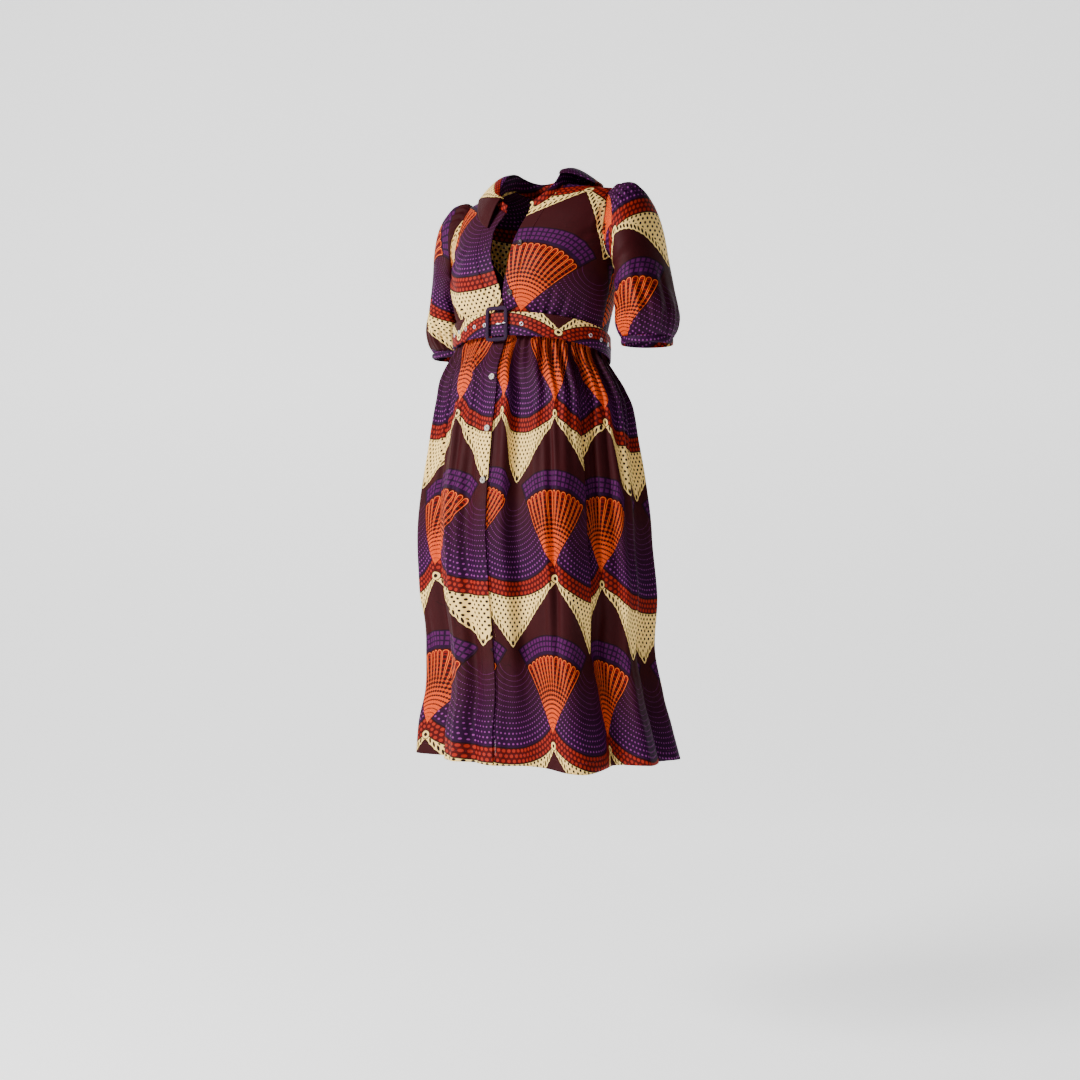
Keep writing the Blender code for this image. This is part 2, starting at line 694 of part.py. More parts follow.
def cuff(side):
    """A narrow band round the sleeve's end."""
    turn = 2 * math.pi * np.arange(SLEEVE_COLUMNS)[None, :] / SLEEVE_COLUMNS
    x, y = cuff_centre(side)
    heights = CUFF_TOP - np.array((0.0, 0.5, 1.0))[:, None] * CUFF_HEIGHT
    points = stack(x + side * CUFF_HALF_WIDTH * np.cos(turn), y - CUFF_HALF_DEPTH * np.sin(turn), heights)
    facing = unit(stack(side * np.cos(turn) / CUFF_HALF_WIDTH, -np.sin(turn) / CUFF_HALF_DEPTH,
                        0 * heights))
    name = "cuff_left" if side > 0 else "cuff_right"
    wall(name, points, facing, PRINT_RED, ring=True)


def skirt_piece(name, start, end, columns, look, under=False, back=False):
    """A skirt piece between two lines of angles, one angle for each row."""
    fall = SKIRT_FALLS[:, None]
    angle = start + (end - start) * np.linspace(0, 1, columns)[None, :]
    points, facing = facing_out(skirt, angle, fall + 0 * angle)
    if under:
        off_centre = points[..., 0] - smooth(SKIRT, "centre_x", fall)
        points = points - lap_sink(off_centre - CLOSING)[..., None] * facing
    wall(name, apart(points, back), facing, look)


def skirt_panels():
    """Two fronts with their closing bands, and a back as wide as both."""
    fall = SKIRT_FALLS[:, None]
    side = math.pi / 2 + 0 * fall
    seam = CLOSING - BAND
    left_seam = skirt_angle(-seam, fall)
    right_seam = skirt_angle(seam, fall)
    left_start = skirt_angle(-seam + SEAM, fall)
    right_start = skirt_angle(seam - SEAM, fall)
    skirt_piece("skirt_front_right", -side, right_start, 31, PRINT_RED)
    skirt_piece("skirt_buttonhole_band", right_seam, skirt_angle(CLOSING, fall), 5, PRINT_PLUM)
    skirt_piece("skirt_button_band", skirt_angle(-CLOSING, fall), left_seam, 5, PRINT_PLUM, under=True)
    skirt_piece("skirt_front_left", left_start, side, 31, PRINT_RED, under=True)
    skirt_piece("skirt_back", side, 3 * side, 63, PRINT_RED, back=True)


def disc_on(name, place, facing, radius, thick, look, sides=11):
    """A button as a turned profile: flat back, rounded rim and a shallow dished face."""
    profile = ((0.0, 0.0), (0.86, 0.0), (1.0, 0.4), (0.90, 1.0), (0.66, 0.95), (0.55, 0.72), (0.0, 0.70))
    across = unit(np.cross(facing, np.array((0.0, 0.0, 1.0))))
    upward = np.cross(across, facing)
    points, faces, rings = [], [], []
    for share, rise in profile:
        centre = place + facing * (rise * thick)
        if share == 0.0:
            rings.append([len(points)])
            points.append(centre)
            continue
        rings.append(list(range(len(points), len(points) + sides)))
        for k in range(sides):
            turn = 2 * math.pi * k / sides
            points.append(centre + share * radius * (math.cos(turn) * across + math.sin(turn) * upward))
    for low, high in zip(rings, rings[1:]):
        for k in range(sides):
            corners = ((low, k), (low, k + 1), (high, k + 1), (high, k))
            faces.append(tuple(dict.fromkeys(ring[place % len(ring)] for ring, place in corners)))
    solid(name, points, faces, look)


def buttons():
    """Buttons on the open left front, and on the lapped skirt closing below the belt."""
    for number, drop in enumerate(BODICE_BUTTON_DROPS, start=1):
        x = edge_x(1, drop) + BODICE_BUTTON_INSET
        point, facing = body_facing(body_angle(x, drop), drop)
        place = point + facing * SEAM
        disc_on(f"bodice_button_{number}", place, facing, BUTTON_RADIUS, BUTTON_THICK, BUTTON_DARK)
    for number, fall in enumerate(SKIRT_BUTTON_FALLS, start=1):
        angle = skirt_angle(BUTTON_LINE, fall)
        point, facing = facing_out(skirt, angle, fall)
        place = point + facing * (2 * SEAM)
        disc_on(f"skirt_button_{number}", place, facing, BUTTON_RADIUS, BUTTON_THICK, BUTTON_PEARL)


def cuff_button():
    """A small covered button on the outer front of the right cuff."""
    x, y = cuff_centre(-1)
    turn = math.radians(34)
    facing = unit(np.array((-math.cos(turn) / CUFF_HALF_WIDTH, -math.sin(turn) / CUFF_HALF_DEPTH, 0.0)))
    place = np.array((x - CUFF_HALF_WIDTH * math.cos(turn), y - CUFF_HALF_DEPTH * math.sin(turn),
                      CUFF_TOP - CUFF_HEIGHT / 2))
    disc_on("cuff_button", place + facing * SEAM, facing, 0.0050, 0.0030, PRINT_PLUM)


def belt_line(angle, out):
    """Places along the belt's middle and its outward directions, this far off the waist."""
    wide = BODY["half_width"][-1] + BELT_STAND + out
    deep = BODY["front_depth"][-1] + BELT_STAND + out
    x = BODY["centre_x"][-1] + wide * np.sin(angle)
    y = -deep * np.cos(angle)
    facing = unit(stack(np.sin(angle) / wide, -np.cos(angle) / deep, 0.0 * angle))
    return stack(x, y, waist_height(angle)), facing


def belt_strap():
    """One strip that runs from the buckle's bar round the waist and on over itself."""
    start = -0.0040 / (BODY["half_width"][-1] + BELT_STAND)
    turn = np.linspace(start, -2 * math.pi - TONGUE_REACH, 72)
    lift = TONGUE_LIFT * ease((-turn - TONGUE_RISE_FROM) / TONGUE_RISE)
    middle, facing = belt_line(turn, lift)
    half = np.array((0.0, 0.0, BELT_WIDTH / 2))
    outer = np.stack((middle + half + facing * BELT_THICK, middle - half + facing * BELT_THICK))
    wall("belt_strap", outer, np.broadcast_to(facing[None], outer.shape), PRINT_RED, thick=BELT_THICK)


def buckle_place(across, out, up):
    """A place by distances from the middle of the buckle, on the belt's inner face."""
    middle, facing = belt_line(np.array(0.0), 0.0)
    sideways = unit(np.cross(facing, np.array((0.0, 0.0, -1.0))))
    return middle + across * sideways + out * facing + np.array((0.0, 0.0, up))


def swept(name, centres, half_across, half_out, look, closed):
    """A bar of eight-sided section along places in the buckle's own plane."""
    centres = np.array(centres)
    count = len(centres)
    if closed:
        along = np.roll(centres, -1, axis=0) - np.roll(centres, 1, axis=0)
    else:
        along = np.gradient(centres, axis=0)
    along = unit(along)
    turn = 2 * math.pi * (np.arange(8) + 0.5) / 8
    base = np.array((0.0, 1.0, 0.0))
    side = unit(np.cross(along, base))
    third = np.cross(side, along)
    points = []
    for k in range(count):
        for angle in turn:
            share = (math.copysign(abs(math.cos(angle)) ** 0.7, math.cos(angle)),
                     math.copysign(abs(math.sin(angle)) ** 0.7, math.sin(angle)))
            local = centres[k] + share[0] * half_across * side[k] + share[1] * half_out * third[k]
            points.append(buckle_place(*local))
    faces = []
    for k in range(count if closed else count - 1):
        for j in range(8):
            a, b = k * 8, ((k + 1) % count) * 8
            faces.append((a + j, b + j, b + (j + 1) % 8, a + (j + 1) % 8))
    if not closed:
        faces += [tuple(range(8)), tuple(range((count - 1) * 8, count * 8))]
    return solid(name, points, faces, look)


def buckle():
    """A covered frame over the strap, and the bar behind the tongue that carries it."""
    half_width = (BUCKLE_WIDTH - BUCKLE_BAR) / 2
    half_height = (BUCKLE_HEIGHT - BUCKLE_BAR) / 2
    corner = 0.0045
    middle = (BUCKLE_NEAR + BUCKLE_FAR) / 2
    loop = []
    for quarter in range(4):
        sign_x = 1 if quarter in (0, 3) else -1
        sign_z = 1 if quarter in (0, 1) else -1
        for step in range(3):
            turn = math.radians(90 * quarter + 45 * step)
            loop.append((sign_x * (half_width - corner) + corner * math.cos(turn), middle,
                         sign_z * (half_height - corner) + corner * math.sin(turn)))
    frame = swept("buckle_frame", loop, BUCKLE_BAR / 2, (BUCKLE_FAR - BUCKLE_NEAR) / 2, PRINT_PURPLE, True)
    low, high = 0.0016, half_height
    bar = [(0.0, middle, high), (0.0, low, high - 0.0040), (0.0, low, 0.0), (0.0, low, -high + 0.0040),
           (0.0, middle, -high)]
    spine = swept("buckle_bar_guide", bar, 0.0026, 0.0014, PRINT_PURPLE, False)
    join = frame.modifiers.new("bar", "BOOLEAN")
    join.operation = "UNION"
    join.object = spine
    spine.hide_render = True
    spine.display_type = "WIRE"


def prong():
    """The metal prong over the tongue, with its tip on the frame's side bar."""
    over = BELT_THICK + TONGUE_LIFT + PRONG_RADIUS + SEAM
    tip = BUCKLE_FAR + PRONG_RADIUS + SEAM
    edge = BUCKLE_WIDTH / 2
    line = [(-0.002, over, 0.0), (0.006, over, 0.0), (edge - BUCKLE_BAR - 0.0055, over + 0.0012, 0.0),
            (edge - BUCKLE_BAR - 0.001, tip, 0.0), (edge - 0.002, tip, 0.0)]
    swept("buckle_prong", line, PRONG_RADIUS, PRONG_RADIUS, METAL, False)


def main():
    for piece in list(bpy.data.objects):
        bpy.data.objects.remove(piece)
    for side in (1, -1):
        bodice_front(side)
        bodice_band(side)
        sleeve(side)
        cuff(side)
    bodice_back()
    collar_stand()
    collar_leaf()
    skirt_panels()
    buttons()
    cuff_button()
    belt_strap()
    buckle()
    prong()


main()
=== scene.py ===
"""Belted shirt dress in wax print cotton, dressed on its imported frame.

Metres, +Z up. The dress faces -Y and the wearer's left is +X. Each cloth piece is a thin
closed shell on the form of its solid, worked out from the same named sizes, with finer
gathers, creases, hems and stitching. The print is a repeat of fans over scallops, drawn
by formula in the cloth's own flat metres, which each piece carries in its UV map.
"""

import json
import math

import bmesh
import bpy
import numpy as np
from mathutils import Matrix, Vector

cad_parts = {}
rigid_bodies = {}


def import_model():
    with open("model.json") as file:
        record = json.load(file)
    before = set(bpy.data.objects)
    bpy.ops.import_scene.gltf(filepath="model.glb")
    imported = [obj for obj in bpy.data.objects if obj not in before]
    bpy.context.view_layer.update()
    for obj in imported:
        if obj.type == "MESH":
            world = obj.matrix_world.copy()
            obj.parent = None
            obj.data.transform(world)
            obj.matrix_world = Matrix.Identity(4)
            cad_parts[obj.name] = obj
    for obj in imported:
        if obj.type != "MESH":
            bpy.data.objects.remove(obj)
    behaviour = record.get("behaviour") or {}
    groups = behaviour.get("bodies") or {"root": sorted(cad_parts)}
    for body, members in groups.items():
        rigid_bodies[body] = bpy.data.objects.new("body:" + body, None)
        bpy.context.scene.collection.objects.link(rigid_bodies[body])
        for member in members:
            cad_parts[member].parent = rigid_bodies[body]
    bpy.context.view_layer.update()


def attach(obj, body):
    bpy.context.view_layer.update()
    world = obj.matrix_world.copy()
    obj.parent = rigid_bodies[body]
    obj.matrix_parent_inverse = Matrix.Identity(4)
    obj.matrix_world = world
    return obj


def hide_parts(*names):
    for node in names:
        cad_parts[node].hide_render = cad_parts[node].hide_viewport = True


bl_info = {
    "name": "Wax Print Shirt Dress",
    "version": (1, 0, 0),
    "blender": (4, 5, 0),
    "location": "3D View > Sidebar > Dress",
    "description": "Builds a belted wax print shirt dress over its packed frame",
    "category": "Object",
}

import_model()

SIDES = {1: "left", -1: "right"}

# Cloth shells: the thickness of one layer, of a fold and of the collar, and how they are sewn
SHELL = 0.0008
HEM_SHELL = 0.0014
COLLAR_SHELL = 0.0013
STITCH_INSET = 0.0016
SIDE_TUCK = 0.022
HEM_FOLD = 0.018
STITCH_SHARE = 0.86
STITCH_LIFT = 0.0003

# The covered button, and the turns of the belt that have no eyelets
COVERED_RADIUS, COVERED_HEIGHT = 0.0050, 0.0030
PLAIN_BELT = math.radians(-336), math.radians(-298)
UNDER_BUCKLE = 0.16

# Angles round a sleeve and its cuff; the last is the first again, for the flat print
TURNS = 2 * math.pi * np.arange(145)[None, :] / 144 - math.pi

# The print's flat repeat and its motifs, in its own metres and in radians
REPEAT_WIDE = 0.225
REPEAT_HIGH = 0.290
START_UP, START_FALL = 0.20, 0.082
SCALLOP_UP = 0.1078
BRICK_IN, BRICK_OUT = 0.1558, 0.182
CUSP_DOWN = 0.037
FAN_DOWN = 0.016
FAN_HALF = math.radians(35)
FAN_RIB = math.radians(5.385)
RIB_END = 0.129
FAN_END = 0.1365
SQUARES_IN, SQUARES_OUT = 0.141, 0.169
SQUARE_TURN, SQUARE_STEP = math.radians(3.44), 0.00933

# The dress's own sizes; drops and falls run down from the shoulder's neck point and the waist
WALL = 0.0016
SEAM = 0.0004
LAP = WALL + 0.0006
UNDERARM = 0.150
BODICE_LENGTH = 0.279
WAIST_HEIGHT = -0.293
WAIST_TILT = 0.028
WAIST_LEAN = 0.003
HEM_HEIGHT = -1.045
SKIRT_FALL = 0.752
HEM_DIP = 0.010
HEM_DIP_AT = math.radians(40)
HEM_DIP_SPREAD = math.radians(14)
SHOULDER_SLOPE = 0.19
SHOULDER_BLEND = 0.105
NECK_SIDE = 0.062
NECK_BACK_DROP = 0.018
BUST_OUT = 0.013
BUST_SIDE = 0.080
BUST_DROP = 0.180
BUST_SPREAD = 0.052
BAND = 0.030
CLOSING = 0.013
BUTTON_LINE = 0.004
BODICE_BUTTON_DROPS = (0.122, 0.216)
BODICE_BUTTON_INSET = 0.017
SKIRT_BUTTON_FALLS = (0.094, 0.183, 0.272)
STAND_SIDE = 0.027
STAND_FRONT = 0.014
STAND_LEAN = 0.16
LEAF_SIDE = 0.125
LEAF_BACK = 0.090
LEAF_END_LEFT = math.radians(96)
LEAF_END_RIGHT = math.radians(154)
LEAF_POINT = 0.07
LEAF_REST = 0.0062
LEAF_ROLL = 0.34
LEAF_RISE = 0.0070
LEAF_CLEAR = 0.0007
LEAF_END_CLEAR = 0.0016
CUFF_TOP = -0.2904
CUFF_HEIGHT = 0.0126
CUFF_HALF_WIDTH = 0.0455
CUFF_HALF_DEPTH = 0.0496
ARM_CLEARANCE = 0.004
ARM_BESIDE = 0.085
ARM_PRESS = 0.004
RIGHT_OUT, RIGHT_BACK = 0.0040, 0.018
BELT_BESIDE = 0.235
GATHERS = 28
BELT_WIDTH = 0.042
BELT_THICK = 0.0030
BELT_STAND = 0.0046
TONGUE_LIFT = BELT_THICK + 0.0006
TONGUE_REACH = math.radians(62)
TONGUE_RISE_FROM = math.radians(290)
TONGUE_RISE = math.radians(52)
BUCKLE_WIDTH = 0.047
BUCKLE_HEIGHT = 0.063
BUCKLE_BAR = 0.0072
BUCKLE_NEAR = 0.0074
BUCKLE_FAR = 0.0116
PRONG_RADIUS = 0.0011
BAND_TOP = 0.038
BUTTON_RADIUS = 0.0058
BUTTON_THICK = 0.0026
BUTTON_HOLES = 0.235


# The photograph's view, and the light of the backdrop and the world
VIEW_TURN = math.radians(32)
VIEW_AWAY = 3.0
VIEW_HEIGHT = -0.653
BACKDROP_GLOW = 1.25
WORLD_STRENGTH = 0.08
LENS = 54.05


def table(names, *rows):
    """Named columns from short rows; the first column is the one the others are read by."""
    return dict(zip(names, np.array(rows, dtype=float).T))


BODY = table(
    ("drop", "half_width", "front_depth", "back_depth", "centre_x", "centre_y", "roundness"),
    (0, 0.158, 0, 0, 0, 0.012, 0.74), (0.004, 0.1585, 0.025, 0.026, 0, 0.012, 0.74),
    (0.01, 0.159, 0.038, 0.04, 0, 0.012, 0.74), (0.02, 0.1605, 0.051, 0.055, 0, 0.012, 0.74),
    (0.04, 0.164, 0.069, 0.075, -0.001, 0.012, 0.75), (0.07, 0.167, 0.087, 0.093, -0.003, 0.01, 0.8),
    (0.105, 0.168, 0.102, 0.105, -0.006, 0.006, 0.88), (0.15, 0.166, 0.112, 0.111, -0.01, 0.002, 0.88),
    (0.19, 0.1625, 0.114, 0.11, -0.014, 0, 0.9), (0.235, 0.154, 0.109, 0.106, -0.017, 0, 0.96),
    (0.257, 0.15, 0.1045, 0.1045, -0.018, 0, 1), (0.279, 0.149, 0.104, 0.104, -0.018, 0, 1),
)

ARMHOLE = table(
    ("drop", "front_angle", "back_angle"),
    (0, 90, 90), (0.003, 77, 77), (0.01, 69, 70), (0.03, 67, 68), (0.06, 68, 70), (0.095, 69, 72),
    (0.12, 72, 74), (0.138, 78, 79), (0.147, 84, 85), (0.15, 90, 90),
)

NECKLINE = table(
    ("drop", "left", "right"),
    (0, 0.062, 0.062), (0.012, 0.0635, 0.064), (0.026, 0.061, 0.064), (0.038, 0.052, 0.06),
    (0.048, 0.039, 0.047), (0.058, 0.022, 0.03),
)

FRONT_EDGE = table(
    ("drop", "left", "right"),
    (0.058, 0.022, -0.03), (0.09, 0.0125, -0.043), (0.13, 0.0045, -0.0385), (0.165, 0.002, -0.0275),
    (0.2, -0.0055, -0.016), (0.231, -0.0135, -0.0115), (0.279, -0.031, -0.005),
)

SLEEVE = table(
    ("along", "outer_x", "outer_z", "inner_x", "inner_z", "half_depth", "centre_y"),
    (0, 0.158, -0.0185, 0.158, -0.15, 0.043, 0.006), (0.07, 0.172, -0.012, 0.16, -0.153, 0.05, 0.009),
    (0.14, 0.1895, -0.0155, 0.161, -0.158, 0.056, 0.011),
    (0.21, 0.208, -0.031, 0.161, -0.166, 0.06, 0.013),
    (0.31, 0.2245, -0.06, 0.161, -0.177, 0.063, 0.015),
    (0.42, 0.236, -0.098, 0.16, -0.19, 0.065, 0.017),
    (0.54, 0.2435, -0.14, 0.159, -0.206, 0.066, 0.019),
    (0.7, 0.2555, -0.194, 0.158, -0.229, 0.0675, 0.0215),
    (0.86, 0.2665, -0.245, 0.1588, -0.26, 0.067, 0.024),
    (0.95, 0.263, -0.273, 0.161, -0.277, 0.061, 0.025),
    (1, 0.2565, -0.29, 0.1655, -0.29, 0.0496, 0.025),
)

SKIRT = table(
    ("fall", "half_width", "half_depth", "centre_x"),
    (0, 0.1475, 0.103, -0.019), (0.021, 0.148, 0.1035, -0.02), (0.035, 0.154, 0.11, -0.0205),
    (0.084, 0.182, 0.139, -0.0165), (0.117, 0.193, 0.148, -0.012), (0.194, 0.207, 0.161, -0.014),
    (0.347, 0.228, 0.18, -0.014), (0.451, 0.231, 0.182, -0.0065), (0.554, 0.222, 0.176, -0.001),
    (0.637, 0.231, 0.182, 0.008), (0.693, 0.246, 0.192, 0.0095), (0.752, 0.2565, 0.2, 0.015),
)

GATHER_DEPTH = table(
    ("fall", "depth"),
    (0, 0.0014), (0.021, 0.0024), (0.05, 0.0052), (0.11, 0.005), (0.22, 0.003), (0.4, 0.0012),
    (0.752, 0),
)

FOLD_GROWTH = table(
    ("fall", "share"),
    (0, 0), (0.021, 0.02), (0.06, 0.22), (0.15, 0.45), (0.35, 0.72), (0.752, 1),
)

FOLDS = table(
    ("crest", "crest_out", "trough", "trough_in"),
    (2, 0, 18, 0.024), (41, 0.004, 59, 0.044), (75, 0.002, 89, 0.024), (104, 0.001, 120, 0.03),
    (134, 0.004, 151, 0.036), (165, 0, 178, 0.024), (193, 0.003, 208, 0.034), (222, 0.001, 236, 0.026),
    (251, 0.003, 265, 0.036), (281, 0.001, 294, 0.026), (309, 0.003, 324, 0.032),
    (341, 0.001, 350, 0.016),
)

ARM_DROPS = np.array((0, 0.002, 0.007, 0.014, 0.024, 0.038, 0.050, 0.066, 0.084, 0.102, 0.120, 0.134,
                      0.143, 0.148, UNDERARM))

BODICE_DROPS = np.concatenate((ARM_DROPS, (0.166, 0.184, 0.202, 0.222, 0.240, 0.260, BODICE_LENGTH)))

# Metres to a radian, which turn an angle into a distance across for the creases
BODICE_ROUND, SKIRT_ROUND, SLEEVE_ROUND = 0.135, 0.2, 0.06

# Soft creases in millimetres: start across and down, end across and down, width and depth
BODICE_CREASES_LEFT = (
    (176, 118, 60, 172, 8.5, 3.2), (172, 140, 85, 196, 7.5, 3), (168, 86, 105, 128, 9, 2.2),
    (150, 44, 150, 115, 7.5, 2), (80, 275, 92, 205, 5, 3.4), (98, 276, 118, 214, 5.5, 3),
    (66, 276, 70, 226, 4.2, 2.4), (128, 276, 150, 222, 6, 2.8), (50, 120, 104, 158, 10, 1.8),
)
BODICE_CREASES_RIGHT = (
    (-178, 112, -82, 165, 8.5, 3.2), (-176, 136, -96, 200, 7, 2.8), (-160, 60, -118, 128, 8.5, 2.2),
    (-90, 276, -98, 206, 5, 3.2), (-112, 276, -128, 214, 5.5, 3), (-74, 276, -76, 224, 4.2, 2.2),
    (-140, 276, -160, 224, 6, 2.6), (-62, 116, -100, 150, 9.5, 1.6),
)
BODICE_CREASES_BACK = (
    (176, 112, 70, 150, 9, 3), (-176, 118, -64, 160, 8.5, 3), (160, 60, 120, 130, 9, 2.2),
    (-158, 56, -124, 124, 8.5, 2.2), (30, 276, 36, 200, 5.5, 3), (-34, 276, -30, 206, 6, 3),
    (78, 276, 90, 196, 6, 3.4), (-80, 276, -96, 190, 6.5, 3.4), (122, 276, 146, 206, 6.5, 3),
    (-126, 276, -144, 210, 6, 3), (2, 276, 0, 226, 5, 2.2), (60, 236, -60, 230, 9, 1.4),
)
SLEEVE_CREASES = (
    (150, 275, 120, 150, 6.5, 2.8), (60, 275, 66, 165, 7, 2.8), (105, 275, 90, 190, 5, 2.2),
    (20, 275, 14, 180, 7, 2.4), (-40, 275, -30, 170, 7, 2.6), (-90, 275, -100, 160, 6.5, 2.6),
    (-140, 275, -126, 185, 6, 2.4), (170, 100, 70, 150, 8.5, 2.6), (176, 160, 92, 205, 8, 2.4),
    (-176, 110, -80, 150, 8.5, 2.4),
)
SKIRT_CREASES = (
    (119, 4, 122, 640, 6.2, 8.5), (194, 4, 194, 560, 6, 9.5), (238, 10, 240, 700, 10, 8),
    (62, 10, 60, 700, 13, 7), (-66, 4, -60, 620, 7.5, 7.5), (-168, 10, -172, 700, 10, 8.5),
    (-232, 10, -236, 600, 7.5, 7.5), (292, 10, 296, 640, 8, 8), (368, 10, 372, 700, 9, 8.5),
    (452, 10, 448, 560, 7, 8), (528, 10, 530, 700, 10, 8.5), (612, 10, 606, 620, 7.5, 8),
    (704, 10, 700, 700, 9.5, 8.5), (792, 10, 798, 580, 7, 8), (866, 10, 862, 700, 9.5, 8),
    (120, 30, 128, 190, 6, 3), (85, 30, 90, 150, 5, 2.6), (185, 30, 180, 240, 6.5, 3),
    (255, 30, 262, 200, 6, 3), (-120, 30, -132, 210, 6.5, 3.2), (-75, 30, -82, 160, 5.5, 2.8),
    (-185, 30, -200, 230, 6.5, 3), (-255, 30, -250, 190, 6, 3), (105, 300, 150, 440, 12, 3),
    (60, 520, 90, 640, 14, 2.6), (240, 420, 205, 560, 13, 3), (-110, 340, -80, 480, 13, 2.8),
    (-200, 460, -160, 610, 14, 2.8), (360, 30, 352, 210, 6.5, 3), (430, 30, 440, 250, 7, 3.2),
    (510, 30, 500, 200, 6, 3), (585, 30, 596, 240, 6.5, 3), (660, 30, 650, 220, 6.5, 3),
    (735, 30, 745, 260, 7, 3.2), (810, 30, 800, 200, 6, 3), (880, 30, 888, 230, 6.5, 3),
    (420, 380, 470, 520, 13, 2.8), (640, 450, 600, 600, 14, 2.8), (800, 400, 840, 540, 13, 2.8),
)

# The print on each front: its lean, an angle and a drop, the mark that lies there, and two scales
FRONT_PRINT = {
    1: (math.radians(16), 15.56, 0.2527, (0.0, -0.016), 0.93, 1.05),
    -1: (0.0, -21.0, 0.178, (REPEAT_WIDE / 2, -0.048), 0.90, 1.0),
}
# Where the print starts on the other pieces, in its own flat metres
BACK_PRINT_MARK = -0.037
BACK_PRINT_DROP = 0.050
STAND_PRINT = (0.0, -0.045)
LEAF_PRINT = table(
    ("turn", "across", "up"),
    (-155, 0, 0.262), (0, -0.225, 0.29), (96, -0.3375, 0.35),
)
SLEEVE_FLAT = 0.052
SLEEVE_CUT = 0.3375
LEAF_STRETCH = 1.5
CUFF_FLAT = 0.05
BACK_CUT = 1.20
CUFF_PRINT = -0.022
SKIRT_PRINT_UP = 0.1215
BELT_PRINT = (-0.022, -0.075, 0.7425)

SKIRT_PRINT = {
    "left": table(
        ("degrees", "top", "middle", "low"),
        (-8, -0.105, -0.02, 0.005), (3, -0.035, 0.055, 0.08), (8.5, 0, 0.085, 0.105),
        (11, 0.02, 0.1, 0.117), (13.5, 0.075, 0.116, 0.13), (18.5, 0.1125, 0.143, 0.16),
        (37, 0.225, 0.239, 0.278), (54.3, 0.318, 0.335, 0.388), (56.3, 0.392, 0.402, 0.43),
        (68.7, 0.45, 0.485, 0.52), (72, 0.465, 0.505, 0.54), (77, 0.545, 0.545, 0.57),
        (90, 0.6, 0.62, 0.65),
    ),
    "right": table(
        ("degrees", "top", "middle", "low"),
        (-90, -0.46, -0.42, -0.38), (-60, -0.21, -0.1, -0.07), (-46.5, -0.13, -0.03, 0),
        (-41.5, -0.105, 0, 0.02), (-37, -0.085, 0.012, 0.032), (-30, -0.035, 0.03, 0.047),
        (-21.5, 0, 0.055, 0.068), (-10, 0.052, 0.088, 0.098), (3, 0.1125, 0.125, 0.135),
        (10, 0.145, 0.145, 0.155),
    ),
}


def smooth(sheet, column, where):
    """Read a column between its rows by cubics whose slopes never overshoot the rows."""
    key = next(iter(sheet))
    x, y = sheet[key], sheet[column]
    width = np.diff(x)
    rise = np.diff(y) / width
    slope = np.concatenate(([rise[0]], np.zeros(len(rise) - 1), [rise[-1]]))
    turn = rise[:-1] * rise[1:] > 0
    total = np.where(turn, rise[:-1] + rise[1:], 1.0)
    slope[1:-1] = np.where(turn, 2 * rise[:-1] * rise[1:] / total, 0.0)
    where = np.asarray(where, dtype=float)
    i = np.clip(np.searchsorted(x, where, side="right") - 1, 0, len(width) - 1)
    t = (where - x[i]) / width[i]
    return cubic(t, y[i], width[i] * slope[i], y[i + 1], width[i] * slope[i + 1])


def cubic(t, start, slope_a, end, slope_b):
    """A cubic from one value to the next with a given slope at each."""
    return ((2 * t**3 - 3 * t**2 + 1) * start + (t**3 - 2 * t**2 + t) * slope_a
            + (3 * t**2 - 2 * t**3) * end + (t**3 - t**2) * slope_b)


def ease(t):
    """Rise from 0 to 1 with level ends."""
    t = np.clip(t, 0.0, 1.0)
    return t * t * (3 - 2 * t)


def unit(vectors):
    """Vectors brought to length 1."""
    return vectors / np.linalg.norm(vectors, axis=-1, keepdims=True)


def stack(x, y, z):
    """Points from three arrays of coordinates."""
    return np.stack(np.broadcast_arrays(x, y, z), axis=-1)


def run_of(points):
    """Distance along a row of points from its first."""
    return np.concatenate(([0], np.cumsum(np.linalg.norm(np.diff(points, axis=0), axis=1))))


def read_at(where, places, values):
    """Rows of three numbers, read between their own places."""
    return np.stack([np.interp(where, places, values[:, k]) for k in range(3)], axis=1)


def facing_out(surface, across, down):
    """Points of a surface and its outward directions, from its slopes each way."""
    reach = 1e-4
    across, down = np.broadcast_arrays(across, down)
    along_across = surface(across + reach, down) - surface(across - reach, down)
    along_down = surface(across, down + reach) - surface(across, down - reach)
    return surface(across, down), unit(np.cross(along_down, along_across))


def waist_height(angle):
    """The waist seam rides up at the front and dips a little at the wearer's left."""
    return WAIST_HEIGHT + WAIST_TILT * np.cos(angle) - WAIST_LEAN * np.sin(angle)


def body_sizes(drop, *columns):
    """Sizes of the bodice's section at a drop."""
    return (smooth(BODY, column, drop) for column in columns)


def section_depth(front, drop):
    """The section's depth at a drop, in front of its middle or behind it."""
    return np.where(front, smooth(BODY, "front_depth", drop), smooth(BODY, "back_depth", drop))


def shoulder_height(x, drop):
    """Height at a drop: the sections slope with the shoulder and level out below it."""
    shoulder = np.clip(1 - drop / SHOULDER_BLEND, 0, 1) ** 2
    return -drop - shoulder * SHOULDER_SLOPE * (np.abs(x) - NECK_SIDE)


